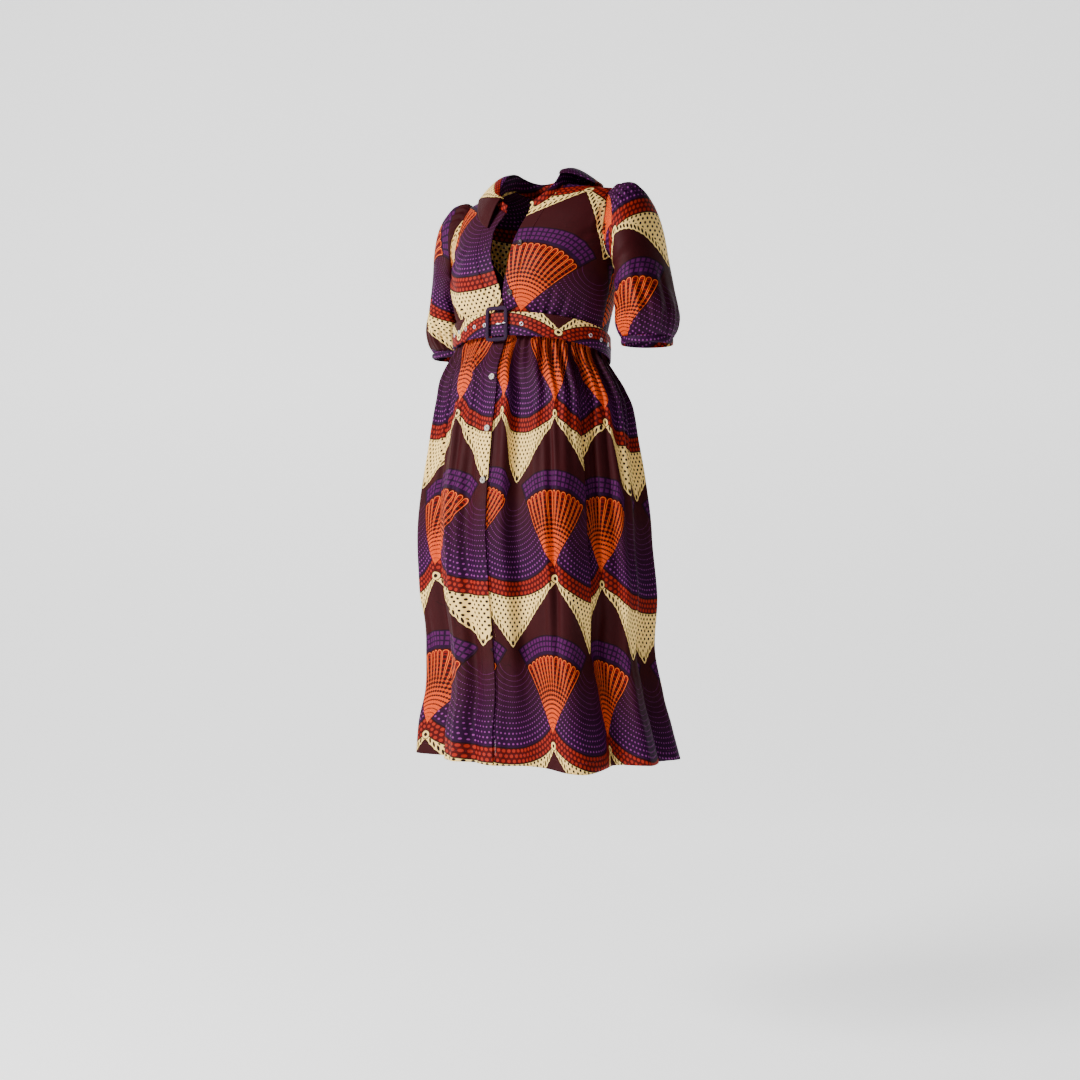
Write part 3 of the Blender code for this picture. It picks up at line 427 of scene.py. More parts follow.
def body(angle, drop):
    """The bodice: rounded sections that close to the sloping shoulder line at the top.

    The angle runs from the centre front to the wearer's left; the drop is measured down
    from the neck point of the shoulder seam.
    """
    sine, cosine = np.sin(angle), np.cos(angle)
    depth = section_depth(cosine >= 0, drop)
    power, wide, centre_x, centre_y = body_sizes(drop, "roundness", "half_width", "centre_x", "centre_y")
    off_centre = wide * np.sign(sine) * np.abs(sine) ** power
    x = centre_x + off_centre
    y = centre_y - depth * np.sign(cosine) * np.abs(cosine) ** power
    bust = np.exp(-(((np.abs(off_centre) - BUST_SIDE) / BUST_SPREAD) ** 2))
    bust = bust * np.exp(-(((drop - BUST_DROP) / BUST_SPREAD) ** 2)) * ease((0.258 - drop) / 0.05)
    y = y - BUST_OUT * bust * np.clip(cosine, 0, 1)
    above = shoulder_height(x, drop)
    share = (drop - UNDERARM) / (BODICE_LENGTH - UNDERARM)
    below = -UNDERARM + share * (waist_height(angle) + UNDERARM)
    return stack(x, y, np.where(drop > UNDERARM, below, above))


def body_facing(angle, drop):
    """Bodice points and outward directions; along the shoulder seam they face up."""
    points, facing = facing_out(body, angle, drop)
    up = unit(stack(SHOULDER_SLOPE * np.sign(points[..., 0]), 0.0, 1.0))
    share = np.clip(1 - np.asarray(drop) / 0.003, 0, 1)
    share = np.broadcast_to(share, points.shape[:-1])[..., None]
    return points, unit((1 - share) * facing + share * up)


def body_angle(x, drop):
    """The angle at which a place this far to the side lies on the bodice's front."""
    power, wide, centre_x = body_sizes(drop, "roundness", "half_width", "centre_x")
    share = np.clip(np.abs(x - centre_x) / wide, 0, 1)
    return np.sign(x - centre_x) * np.arcsin(share ** (1 / power))


def fold_wave(angle):
    """Large folds: level-ended rises and falls from each crest to the next trough."""
    places = np.radians(np.stack((FOLDS["crest"], FOLDS["trough"]), axis=1).ravel())
    heights = np.stack((FOLDS["crest_out"], -FOLDS["trough_in"]), axis=1).ravel()
    places = np.append(places, places[0] + 2 * math.pi)
    heights = np.append(heights, heights[0])
    turned = places[0] + np.mod(angle - places[0], 2 * math.pi)
    i = np.clip(np.searchsorted(places, turned, side="right") - 1, 0, len(places) - 2)
    share = ease((turned - places[i]) / (places[i + 1] - places[i]))
    return heights[i] + (heights[i + 1] - heights[i]) * share


def gather_wave(angle, off_centre):
    """Small gathers, uneven in width and depth, that leave the closing bands flat."""
    phase = GATHERS * angle + 1.3 * np.sin(3 * angle + 0.6) + 0.8 * np.sin(7 * angle + 2.0)
    height = 0.74 + 0.26 * np.sin(5 * angle + 1.0)
    at_front = np.cos(angle) > 0
    flat = np.where(at_front, ease((np.abs(off_centre) - 0.012) / 0.026), 1.0)
    return np.cos(phase) * height * flat


def skirt(angle, fall):
    """The skirt: widening oval sections, moved out and in by its gathers and folds."""
    sine, cosine = np.sin(angle), np.cos(angle)
    wide, deep = smooth(SKIRT, "half_width", fall), smooth(SKIRT, "half_depth", fall)
    off_centre = wide * sine
    out = smooth(FOLD_GROWTH, "share", fall) * fold_wave(angle)
    out = out + smooth(GATHER_DEPTH, "depth", fall) * gather_wave(angle, off_centre)
    length = np.hypot(sine * deep, cosine * wide)
    x = smooth(SKIRT, "centre_x", fall) + off_centre + out * sine * deep / length
    y = -deep * cosine - out * cosine * wide / length
    dip = HEM_DIP * np.exp(-(((angle - HEM_DIP_AT) / HEM_DIP_SPREAD) ** 2))
    share = fall / SKIRT_FALL
    z = waist_height(angle) * (1 - share) + (HEM_HEIGHT - dip * share) * share
    return stack(x, y, z)


def skirt_angle(off_centre, fall):
    """The angle at which a place this far off the centre line lies on the skirt's front."""
    return np.arcsin(off_centre / smooth(SKIRT, "half_width", fall))


def lap_sink(beyond_edge):
    """How far the under front is let in beneath the upper one, by distance past its edge."""
    return LAP * (1 - ease((beyond_edge - 0.003) / 0.013))


def apart(points, towards_back):
    """Front and back pieces stand half a seam's gap each way from their shared line."""
    return points + np.array((0.0, SEAM / 2 if towards_back else -SEAM / 2, 0.0))


def edge_x(side, drop):
    """The front edge of one side, carried straight up above the collar's end."""
    return smooth(FRONT_EDGE, SIDES[side], np.maximum(drop, FRONT_EDGE["drop"][0]))


def panel_inner_x(side, drop):
    """Where a front panel begins: the neckline at the top, then the band's seam."""
    neck = smooth(NECKLINE, SIDES[side], np.minimum(drop, NECKLINE["drop"][-1]))
    seam = side * edge_x(side, drop) + BAND + SEAM
    return side * np.where(drop < BAND_TOP - 1e-6, neck, seam)


def sunk(points, facing, drop):
    """Let the left front in where the right front laps over it."""
    beyond = points[..., 0] - edge_x(-1, drop)
    depth = lap_sink(beyond) * ease((drop - 0.196) / 0.028)
    return points - depth[..., None] * facing


def band_top_drop(side, share):
    """The neckline's drop at each place across a band."""
    x = abs(FRONT_EDGE[SIDES[side]][0]) + BAND * share
    return np.interp(-x, -NECKLINE[SIDES[side]][2:], NECKLINE["drop"][2:])


def back_columns():
    """Shares of the way from the centre back to each armhole, one at each neck point."""
    power = 1 / BODY["roundness"][0]
    neck = math.asin((NECK_SIDE / BODY["half_width"][0]) ** power) / (math.pi / 2)
    inside = neck * np.sin(np.linspace(-math.pi / 2, math.pi / 2, 11))
    outside = np.linspace(neck, 1, 8)[1:]
    return np.concatenate((-outside[::-1], inside, outside)), neck


def back_places(share, neck, down):
    """Angles and drops over the back; its top follows the shoulders and the neck."""
    top = NECK_BACK_DROP * np.clip(1 - (share / neck) ** 2, 0, 1)[None, :] ** 0.8
    outer = np.radians(smooth(ARMHOLE, "back_angle", np.minimum(down, UNDERARM)))
    inset = (math.pi / 2 - outer) * share**4
    angle = math.pi - share * math.pi / 2 + np.sign(share) * inset
    return angle, top + down * (1 - top / BODICE_LENGTH)


def neck_edge():
    """The neckline from the right front end round the back to the left front end."""
    ends = []
    for side in (-1, 1):
        rows = BODICE_DROPS[BODICE_DROPS < BAND_TOP - 1e-6]
        drop = np.concatenate((rows, band_top_drop(side, np.array((1.0, 0.5, 0.0)))))
        x = np.concatenate((
            panel_inner_x(side, rows),
            edge_x(side, drop[-3:]) + side * BAND * np.array((1.0, 0.5, 0.0)),
        ))
        ends.append(body(body_angle(x, drop), drop))
    share, neck = back_columns()
    angle, drop = back_places(share, neck, BODICE_DROPS[:1, None])
    behind = np.abs(share) < neck - 1e-6
    back = body(angle[0, behind], drop[0, behind])[::-1]
    if back[0, 0] > back[-1, 0]:
        back = back[::-1]
    return np.concatenate((ends[0][::-1], back, ends[1]))


def stand_rows():
    """The collar stand's lower and upper edges, with the directions its cloth faces."""
    low = neck_edge()
    count = len(low)
    place = np.abs(np.linspace(-1, 1, count))
    forward = ease((place - 0.50) / 0.50)
    height = STAND_SIDE + (STAND_FRONT - STAND_SIDE) * forward
    plan = low * np.array((1.0, 1.0, 0.0))
    outward = unit(plan - np.array((0.0, -0.012, 0.0)))
    rise = unit(np.array((0.0, 0.0, 1.0)) - STAND_LEAN * outward)
    facing = unit(outward + STAND_LEAN * np.array((0.0, 0.0, 1.0)))
    start = low + 0.0005 * rise
    return start, rise, facing, height


def height_over(x, y):
    """The bodice's height at a place in plan, found by halving the span of drops."""
    low, high = np.zeros_like(x), np.full_like(x, 0.12)
    for _ in range(30):
        drop = (low + high) / 2
        power, wide, centre_x, centre_y = body_sizes(drop, "roundness", "half_width", "centre_x", "centre_y")
        depth = section_depth(y < centre_y, drop)
        across = np.abs(x - centre_x) / wide
        inward = np.abs(y - centre_y) / np.maximum(depth, 1e-6)
        outside = across ** (2 / power) + inward ** (2 / power) > 1
        low, high = np.where(outside, drop, low), np.where(outside, high, drop)
    return shoulder_height(x, high)


def armhole_ring(side):
    """The armhole's edge from the shoulder down the front and up the back, moved clear."""
    front = smooth(ARMHOLE, "front_angle", ARM_DROPS)
    back = 180 - smooth(ARMHOLE, "back_angle", ARM_DROPS)
    angle = side * np.radians(np.concatenate((front, back[-2:0:-1])))
    drop = np.concatenate((ARM_DROPS, ARM_DROPS[-2:0:-1]))
    points, facing = body_facing(angle, drop)
    along = np.roll(points, -1, axis=0) - np.roll(points, 1, axis=0)
    onward = side * unit(np.cross(facing, along))
    around = np.arccos(1 - 2 * np.clip(drop / UNDERARM, 0, 1))
    around[len(ARM_DROPS):] = 2 * math.pi - around[len(ARM_DROPS):]
    return around, points + 0.0006 * onward + 0.0007 * facing


def torso_side(side, y, z):
    """How far to the side the bodice reaches at a place beside the arm."""
    share = (-z - UNDERARM) / (-WAIST_HEIGHT - UNDERARM)
    below = np.clip(UNDERARM + share * (BODICE_LENGTH - UNDERARM), UNDERARM, BODICE_LENGTH)
    drop = np.where(-z < UNDERARM, np.clip(-z, 0, UNDERARM), below)
    inward = np.clip(np.abs(y) / section_depth(y < 0, drop), 0, 1)
    roundness, wide, centre_x = body_sizes(drop, "roundness", "half_width", "centre_x")
    power = 2 / roundness
    reach = (1 - inward**power) ** (1 / power)
    belt = (BELT_STAND + BELT_THICK + TONGUE_LIFT) * ease((-z - BELT_BESIDE) / 0.03)
    return side * centre_x + wide * reach + belt


def cuff_centre(side):
    """The middle of a cuff in plan."""
    x = (SLEEVE["outer_x"][-1] + SLEEVE["inner_x"][-1]) / 2
    y = SLEEVE["centre_y"][-1]
    return (x, y) if side > 0 else (-x - RIGHT_OUT, y + RIGHT_BACK)


def belt_line(angle, out):
    """Places along the belt's middle and its outward directions, this far off the waist."""
    wide = BODY["half_width"][-1] + BELT_STAND + out
    deep = BODY["front_depth"][-1] + BELT_STAND + out
    x = BODY["centre_x"][-1] + wide * np.sin(angle)
    y = -deep * np.cos(angle)
    facing = unit(stack(np.sin(angle) / wide, -np.cos(angle) / deep, 0.0 * angle))
    return stack(x, y, waist_height(angle)), facing


def buckle_place(across, out, up):
    """A place by distances from the middle of the buckle, on the belt's inner face."""
    middle, facing = belt_line(np.array(0.0), 0.0)
    sideways = unit(np.cross(facing, np.array((0.0, 0.0, -1.0))))
    return middle + across * sideways + out * facing + np.array((0.0, 0.0, up))


def crease(across, down, rows):
    """How far soft creases stand out: each row is a line with a trough and a lower ridge beside it.

    The distance from the line gives a bell-shaped trough, a smaller bell beside it rises,
    and both fade towards the line's two ends.
    """
    height = np.zeros(np.broadcast(across, down).shape)
    for start_a, start_d, end_a, end_d, width, depth in np.array(rows) / 1000:
        line = np.array((end_a - start_a, end_d - start_d))
        length = np.hypot(*line)
        line = line / length
        da, dd = across - start_a, down - start_d
        along = (da * line[0] + dd * line[1]) / length
        off = (dd * line[0] - da * line[1]) / width
        fade = ease(along / 0.35) * ease((1.12 - along) / 0.45)
        height = height + depth * fade * (0.45 * np.exp(-((off - 1.7) ** 2)) - np.exp(-(off**2)))
    return height


def bodice_surface(side):
    """The bodice's surface with its creases, as a function of angle and drop."""
    rows = (BODICE_CREASES_BACK, BODICE_CREASES_LEFT, BODICE_CREASES_RIGHT)[side]

    def place(angle, drop):
        across = (angle if side else angle - math.pi) * BODICE_ROUND
        points, facing = body_facing(angle, drop)
        height = crease(across, drop, rows)
        phase = across * 2 * math.pi / 0.021 + 1.9 * np.sin(across * 61)
        gathers = 0.0011 * ease((drop - 0.205) / 0.07) * np.cos(phase)
        held = np.exp(-(((np.abs(across) - 0.088) / 0.035) ** 2)) if side else 0.55
        return points + (height + gathers * held)[..., None] * facing

    return place


def bodice_facing(side, angle, drop):
    """Creased bodice points and outward directions; along the shoulder seam they face up."""
    points, facing = facing_out(bodice_surface(side), angle, drop)
    top = np.clip(1 - drop / 0.004, 0, 1)[..., None]
    return points, unit((1 - top) * facing + top * body_facing(angle, drop)[1])


def fine_gathers(angle, fall):
    """Small uneven gathers under the belt that run out into the larger folds."""
    phase = 71 * angle + 2.1 * np.sin(5 * angle + 0.4) + 1.4 * np.sin(11 * angle + 1.7)
    reach = 0.06 + 0.12 * (0.5 + 0.5 * np.sin(9 * angle + 2.2)) ** 2
    height = 0.0026 * np.exp(-fall / reach) * ease(fall / 0.02)
    second = 43 * angle + 1.7 * np.sin(4 * angle + 2.9)
    long_reach = 0.20 + 0.30 * (0.5 + 0.5 * np.sin(6 * angle + 0.3)) ** 2
    height_two = 0.0034 * np.exp(-(fall / long_reach) ** 2) * ease(fall / 0.05)
    third = 21 * angle + 1.5 * np.sin(5 * angle + 1.2)
    height_three = 0.0036 * ease((fall - 0.05) / 0.3) * (0.6 + 0.4 * np.sin(3 * angle + 2.0))
    return height * np.cos(phase) + height_two * np.cos(second) + height_three * np.cos(third)


def hem_ripple(angle, fall):
    """A slight uneven ripple that shows only towards the hem."""
    share = ease((fall - 0.46) / 0.29)
    return 0.0022 * share * np.sin(23 * angle + 1.6 * np.sin(3 * angle + 1.0))


def skirt_surface(angle, fall):
    """The skirt with its small gathers and soft long creases added along its own outward way."""
    points, facing = facing_out(skirt, angle, fall)
    off_centre = points[..., 0] - smooth(SKIRT, "centre_x", fall)
    flat = np.where(np.cos(angle) > 0, ease((np.abs(off_centre) - 0.016) / 0.03), 1.0)
    height = crease(angle * SKIRT_ROUND, fall, SKIRT_CREASES) * ease(fall / 0.04)
    height = height + (fine_gathers(angle, fall) + hem_ripple(angle, fall)) * flat
    return points + height[..., None] * facing


def grid_faces(rows, columns, ring=True, closed=False):
    """Quads over a grid of points; a ring's last column meets its first, and if closed its last row too."""
    r, c = np.meshgrid(np.arange(rows if closed else rows - 1),
                       np.arange(columns if ring else columns - 1), indexing="ij")
    r, c = r.ravel(), c.ravel()
    ahead, onward = (r + 1) % rows * columns, (c + 1) % columns
    return np.stack((r * columns + c, ahead + c, ahead + onward, r * columns + onward), 1)


def surface_mesh(name, outer, inner, across, along, ring):
    """A closed shell from an outer and an inner grid, with the cloth's flat metres as its UV map.

    Quads run over both grids, the inner ones turned over, and strips close the edges. A
    ring closes on itself across, and its last UV column belongs to its first points.
    """
    rows, columns = outer.shape[:2]
    count = rows * columns
    width = across.shape[1]
    quads, marks = grid_faces(rows, columns, ring), grid_faces(rows, width, False)
    faces, texture = [quads, quads[:, ::-1] + count], [marks, marks[:, ::-1]]
    first, last = np.arange(width - 1), (rows - 1) * columns
    beyond = (first + 1) % columns
    strips = [
        (first, beyond, first, first + 1),
        (last + beyond, last + first, (rows - 1) * width + first + 1, (rows - 1) * width + first),
    ]
    if not ring:
        step = np.arange(rows - 1)
        strips.append(((step + 1) * columns, step * columns, (step + 1) * width, step * width))
        strips.append((step * columns + columns - 1, (step + 1) * columns + columns - 1,
                       step * width + width - 1, (step + 1) * width + width - 1))
    for a, b, mark_a, mark_b in strips:
        faces.append(np.stack((a, b, b + count, a + count), 1))
        texture.append(np.stack((mark_a, mark_b, mark_b, mark_a), 1))
    rims = sum(len(face) for face in faces[2:])
    faces, texture = np.concatenate(faces), np.concatenate(texture)
    points = np.concatenate((outer.reshape(-1, 3), inner.reshape(-1, 3)))
    a, b, d = (points[quads[:, k]] for k in (0, 1, 3))
    out = outer.reshape(-1, 3)[quads[:, 0]] - inner.reshape(-1, 3)[quads[:, 0]]
    if np.sum(np.cross(b - a, d - a) * out) < 0:
        faces, texture = faces[:, ::-1], texture[:, ::-1]
    uv = np.stack((across.ravel(), along.ravel()), 1)[texture.ravel()]
    mesh = mesh_from(name, points, faces)
    layer = mesh.uv_layers.new(name="flat_cloth")
    layer.data.foreach_set("uv", uv.astype(np.float32).ravel())
    smooth_faces = np.ones(len(faces), dtype=bool)
    smooth_faces[-rims:] = False
    mesh.polygons.foreach_set("use_smooth", smooth_faces)
    mesh.update()
    return mesh


def mesh_from(name, points, faces):
    """A mesh from an array of points and an array of faces with equal corner counts."""
    mesh = bpy.data.meshes.new(name)
    faces = np.asarray(faces)
    corners = faces.shape[1]
    mesh.vertices.add(len(points))
    mesh.vertices.foreach_set("co", np.asarray(points, dtype=np.float32).ravel())
    mesh.loops.add(faces.size)
    mesh.loops.foreach_set("vertex_index", faces.astype(np.int32).ravel())
    mesh.polygons.add(len(faces))
    mesh.polygons.foreach_set("loop_start", np.arange(0, faces.size, corners, dtype=np.int32))
    mesh.update(calc_edges=True)
    mesh.validate()
    return mesh


def place_piece(name, mesh, material, slot, replaces=()):
    """An object at the origin that rides on the frame's one body and stands for its solids."""
    for old in [thing for thing in bpy.data.objects if thing.name == name]:
        bpy.data.objects.remove(old)
    mesh.materials.append(material)
    piece = bpy.data.objects.new(name, mesh)
    bpy.context.scene.collection.objects.link(piece)
    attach(piece, "root")
    if replaces:
        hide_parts(*replaces)
    return piece


def shell(name, outer, facing, across, along, node, thick=SHELL, ring=False, slot="printed_cotton"):
    """A cloth piece: its outer points, the same points moved in by its thickness, and its flat map."""
    depth = np.broadcast_to(np.asarray(thick, dtype=float), outer.shape[:2])[..., None]
    across, along = np.broadcast_arrays(across, along)
    mesh = surface_mesh(name, outer, outer - depth * facing, across, along, ring)
    material = print_material() if slot == "printed_cotton" else belt_material()
    return place_piece(name, mesh, material, slot, (node,) if node else ())


def hem_thickness(distance, width):
    """A folded hem: full thickness within this width of an edge, easing to a single layer."""
    return SHELL + (HEM_SHELL - SHELL) * (1 - ease((distance - width) / 0.0012))


def turned(across, up, tilt, at, mark):
    """Flat metres turned clockwise by the tilt so that one place of the cloth gets a print mark."""
    sine, cosine = math.sin(tilt), math.cos(tilt)
    a, b = across - at[0], up - at[1]
    return a * cosine - b * sine + mark[0], a * sine + b * cosine + mark[1]


def path_length(angle, drop):
    """Length of paths over the bodice, by adding short steps along the last axis."""
    return np.linalg.norm(np.diff(body(angle, drop), axis=-2), axis=-1).sum(axis=-1)


def body_arc(angle, drop):
    """Distance round the bodice from its centre line at a drop."""
    share = np.linspace(0, 1, 40)
    return np.sign(angle) * path_length(angle[..., None] * share, drop[..., None] + 0 * share)


def body_rise(angle, drop):
    """Distance up the bodice's own curve from the level of the bust."""
    share = np.linspace(0, 1, 30)
    down = BUST_DROP + (drop[..., None] - BUST_DROP) * share
    return np.sign(BUST_DROP - drop) * path_length(angle[..., None] + 0 * share, down)


def front_print(side, angle, drop):
    """The print's place on a front: fans lean a little on the left front and stand on the right."""
    tilt, at_angle, at_drop, mark, wide, high = FRONT_PRINT[side]
    at_angle, at_drop = np.array([math.radians(at_angle)]), np.array([at_drop])
    anchor = wide * body_arc(at_angle, at_drop)[0], high * body_rise(at_angle, at_drop)[0]
    return turned(wide * body_arc(angle, drop), high * body_rise(angle, drop), tilt, anchor, mark)


def bodice_front_piece(side):
    """A front panel: points between the band's seam and the side seam, with creases and gathers."""
    drop = np.concatenate((np.linspace(0, 0.012, 12)[:-1], np.linspace(0.012, BODICE_LENGTH, 104)))
    drop = np.unique(np.concatenate((drop, (BAND_TOP - 2e-6, BAND_TOP))))[:, None]
    inner = body_angle(panel_inner_x(side, drop), drop)
    outer = side * np.radians(smooth(ARMHOLE, "front_angle", np.minimum(drop, UNDERARM)))
    share = np.linspace(0, 1, 72)[None, :]
    angle = inner + (outer - inner) * share
    drop = drop + 0 * angle
    points, facing = bodice_facing(side, angle, drop)
    if side > 0:
        points = sunk(points, facing, drop)
    across, along = front_print(side, angle, drop)
    name = "bodice_front_" + SIDES[side]
    piece = shell(name + "_cloth", apart(points, False), facing, across, along, name)


def bodice_band_piece(side):
    """The closing band of one front, with a folded edge down the opening."""
    share = np.linspace(0, 1, 17)[None, :]
    rows = np.linspace(BAND_TOP, BODICE_LENGTH, 90)[:, None]
    down = (rows - BAND_TOP) / (BODICE_LENGTH - BAND_TOP)
    top = band_top_drop(side, share)
    drop = top + (BODICE_LENGTH - top) * down
    x = edge_x(side, drop) + side * BAND * share
    angle = body_angle(x, drop)
    points, facing = facing_out(bodice_surface(side), angle, drop)
    if side > 0:
        points = sunk(points, facing, drop)
    across, along = front_print(side, angle, drop)
    name = "bodice_button_band" if side > 0 else "bodice_buttonhole_band"
    thick = hem_thickness(share * BAND + 0 * down, BAND * 2)
    piece = shell(name + "_cloth", apart(points, False), facing, across, along, name, thick=thick)


def bodice_back_piece():
    """The back in one piece, gathered a little into the waist."""
    share, neck = back_columns()
    share = np.interp(np.linspace(0, len(share) - 1, 121), np.arange(len(share)), share)
    down = np.concatenate((np.linspace(0, 0.012, 10)[:-1], np.linspace(0.012, BODICE_LENGTH, 96)))
    angle, drop = back_places(share, neck, down[:, None])
    points, facing = bodice_facing(0, angle, drop)
    across = -body_arc(math.pi - angle, drop)
    mark = body_rise(np.array([math.pi]), np.array([BACK_PRINT_DROP]))[0]
    along = body_rise(angle, drop) - mark + BACK_PRINT_MARK
    piece = shell("bodice_back_cloth", apart(points, True), facing, across, along, "bodice_back")


def rounded(values, count):
    """A smooth line through a row of points, by cubics whose slopes come from their neighbours."""
    place = np.linspace(0, len(values) - 1, count)
    i = np.minimum(place.astype(int), len(values) - 2)
    t = (place - i)[:, None]
    padded = np.concatenate((2 * values[:1] - values[1:2], values, 2 * values[-1:] - values[-2:-1]))
    p0, p1, p2, p3 = padded[i], padded[i + 1], padded[i + 2], padded[i + 3]
    return cubic(t, p1, (p2 - p0) / 2, p2, (p3 - p1) / 2)


def grid_facing(points, ring=False):
    """Directions square to a grid of points, from the steps to its neighbours."""
    down = np.gradient(points, axis=0)
    if ring:
        across = np.roll(points, -1, axis=1) - np.roll(points, 1, axis=1)
    else:
        across = np.gradient(points, axis=1)
    return unit(np.cross(across, down))


def collar_stand_piece():
    """The collar's stand: a narrow band round the neck, with print along it."""
    start, rise, facing, height = stand_rows()
    count = 150
    start, rise, facing = rounded(start, count), unit(rounded(rise, count)), unit(rounded(facing, count))
    height = np.interp(np.linspace(0, 1, count), np.linspace(0, 1, len(height)), height)
    rows = np.linspace(0, 1, 13)[:, None, None]
    outer = start[None] + rows * (height[:, None] * rise)[None]
    swell = 0.0005 * np.sin(math.pi * rows) * facing[None]
    length = run_of(start)
    across = length[None, :] - length[-1] + STAND_PRINT[0]
    along = STAND_PRINT[1] + rows[..., 0] * height[None, :]
    facing = np.broadcast_to(facing[None], outer.shape)
    piece = shell("collar_stand_cloth", outer + swell, facing, across, along, "collar_stand",
                  thick=COLLAR_SHELL)


def leaf_grid(rows, count):
    """Points and directions of the collar's leaf, from its fold to its outer edge."""
    start, rise, facing, height = stand_rows()
    centre = len(start) // 2
    first, last = 1, len(start) - 5
    place = np.linspace(first, last, count)
    rise, facing = (unit(read_at(place, np.arange(len(start)), way)) for way in (rise, facing))
    lines = rounded(start[first:last + 1], count)
    height = np.interp(place, np.arange(len(height)), height)
    fold = lines + rise * height[:, None]
    turn = np.interp(place, (first, centre, last), (-LEAF_END_RIGHT, 0.0, LEAF_END_LEFT))
    towards_end = np.interp(place, (first, centre, last), (1.0, 0.0, 1.0))
    on_right = towards_end * (turn < 0)
    clear = WALL + LEAF_CLEAR + LEAF_END_CLEAR * (towards_end**5 + 1.6 * on_right)[:, None]
    fold = fold - WALL * facing + clear * rise
    reach = 1 + LEAF_POINT * ease((on_right - 0.7) / 0.3)
    x, y = LEAF_SIDE * reach * np.sin(turn), LEAF_BACK * reach * np.cos(turn)
    edge = stack(x, y, height_over(x, y) + LEAF_REST + WALL)
    control = fold + LEAF_ROLL * (edge - fold)
    control[:, 2] = fold[:, 2] + LEAF_RISE
    t = np.linspace(0, 1, rows)[:, None, None]
    outer = (1 - t) ** 2 * fold + 2 * t * (1 - t) * control + t**2 * edge
    normal = grid_facing(outer)
    outward = unit(edge - fold) + np.array((0.0, 0.0, 1.0))
    normal = normal * np.sign(np.sum(normal * outward, axis=-1, keepdims=True))
    share = np.clip(1 - t / 0.12, 0, 1)
    normal = unit((1 - share) * normal + share * rise[None])
    return outer, normal, turn, t[..., 0], np.linalg.norm(edge - fold, axis=1)


def collar_leaf_piece():
    """The collar's leaf, a double layer pressed flat with its seam just inside the edge."""
    outer, normal, turn, t, length = leaf_grid(33, 190)
    seam = np.minimum(1 - t, 1.0) * length[None, :]
    ends = np.minimum(np.arange(190), 189 - np.arange(190))[None, :] * 0.0018
    edge = np.minimum(seam, ends + 0 * seam)
    press = -0.0005 * np.exp(-(((edge - 0.0052) / 0.0013) ** 2))
    wave = 0.0009 * np.sin(turn[None, :] * 7.0 + 0.8) * t
    outer = outer + (press + wave)[..., None] * normal
    across, high = (np.interp(np.degrees(turn), LEAF_PRINT["turn"], LEAF_PRINT[key])[None, :]
                    for key in ("across", "up"))
    along = high - LEAF_STRETCH * t * length[None, :]
    piece = shell("collar_leaf_cloth", outer, normal, across, along, "collar_leaf", thick=COLLAR_SHELL)


def sleeve_points(side, rows):
    """The sleeve's outer grid: ovals from the armhole to the cuff, gathered at both ends."""
    around, ring = armhole_ring(side)
    turn = TURNS[0, :-1]
    ring = np.concatenate((ring, ring[:1]))
    first = read_at(np.mod(turn, 2 * math.pi), np.append(around, 2 * math.pi), ring)
    along = np.concatenate((np.linspace(0, 0.14, rows // 4, endpoint=False),
                            np.linspace(0.14, 1, rows - rows // 4)))[:, None]
    turn = turn[None, :]
    outer_x, outer_z, inner_x, inner_z, deep, middle_y = (
        smooth(SLEEVE, column, along)
        for column in ("outer_x", "outer_z", "inner_x", "inner_z", "half_depth", "centre_y")
    )
    big = 0.0022 * np.cos(9 * turn + 0.7 * np.sin(2 * turn))
    small = 0.0017 * np.cos(31 * turn + 1.4 * np.sin(3 * turn + side)) * (0.7 + 0.3 * np.sin(5 * turn))
    lower = ease((along - 0.66) / 0.26) - 0.4 * ease((along - 0.90) / 0.10)
    gather = big * lower + small * (ease((along - 0.74) / 0.2) - 0.3 * ease((along - 0.95) / 0.05))
    head = np.clip(np.cos(turn) + 0.25, 0, 1) * np.exp(-((along - 0.10) / 0.09) ** 2) * ease(along / 0.04)
    gather = gather + 0.0021 * head * np.cos(27 * turn + 1.1 * np.sin(4 * turn))
    long_wave = 0.0024 * np.sin(3 * turn + 5.0 * along + side) * ease(along / 0.3) * ease((1 - along) / 0.2)
    gather = gather + long_wave + crease(turn * SLEEVE_ROUND, along * 0.3, SLEEVE_CREASES)
    size = 1 + gather / 0.055
    share = (1 + np.cos(turn) * size) / 2
    x = inner_x + (outer_x - inner_x) * share
    z = inner_z + (outer_z - inner_z) * share
    spread, swing = (0.0, 0.0) if side > 0 else (RIGHT_OUT, RIGHT_BACK)
    y = middle_y + swing * along - deep * size * np.sin(turn)
    points = stack(side * (x + spread * along), y, z)
    hold = (1 - ease(along / 0.36)) ** 1.5
    points = points + hold[..., None] * (first - points[0])
    beside = points[..., 2] < -ARM_BESIDE
    reach = torso_side(side, points[..., 1], points[..., 2]) + ARM_CLEARANCE * ease(along / 0.12)
    spare = (side * points[..., 0] - reach) / ARM_PRESS
    eased = reach + ARM_PRESS * np.logaddexp(0, np.clip(spare, -50, 50))
    pushed = np.where(beside & (spare < 6), eased, side * points[..., 0])
    points[1:, :, 0] = side * pushed[1:]
    return points, along


def sleeve_print(side, turn, along):
    """The sleeve's print: its grain hangs straight, and a fan stands over the left cuff."""
    up = SLEEVE_CUT * (1 - along) + 0 * turn
    if side > 0:
        cusp = math.radians(116) - math.radians(26) * (1 - along)
        return (cusp - turn) * SLEEVE_FLAT, up - 0.006
    return REPEAT_WIDE / 2 + (turn - math.radians(131)) * SLEEVE_FLAT, up - 0.147


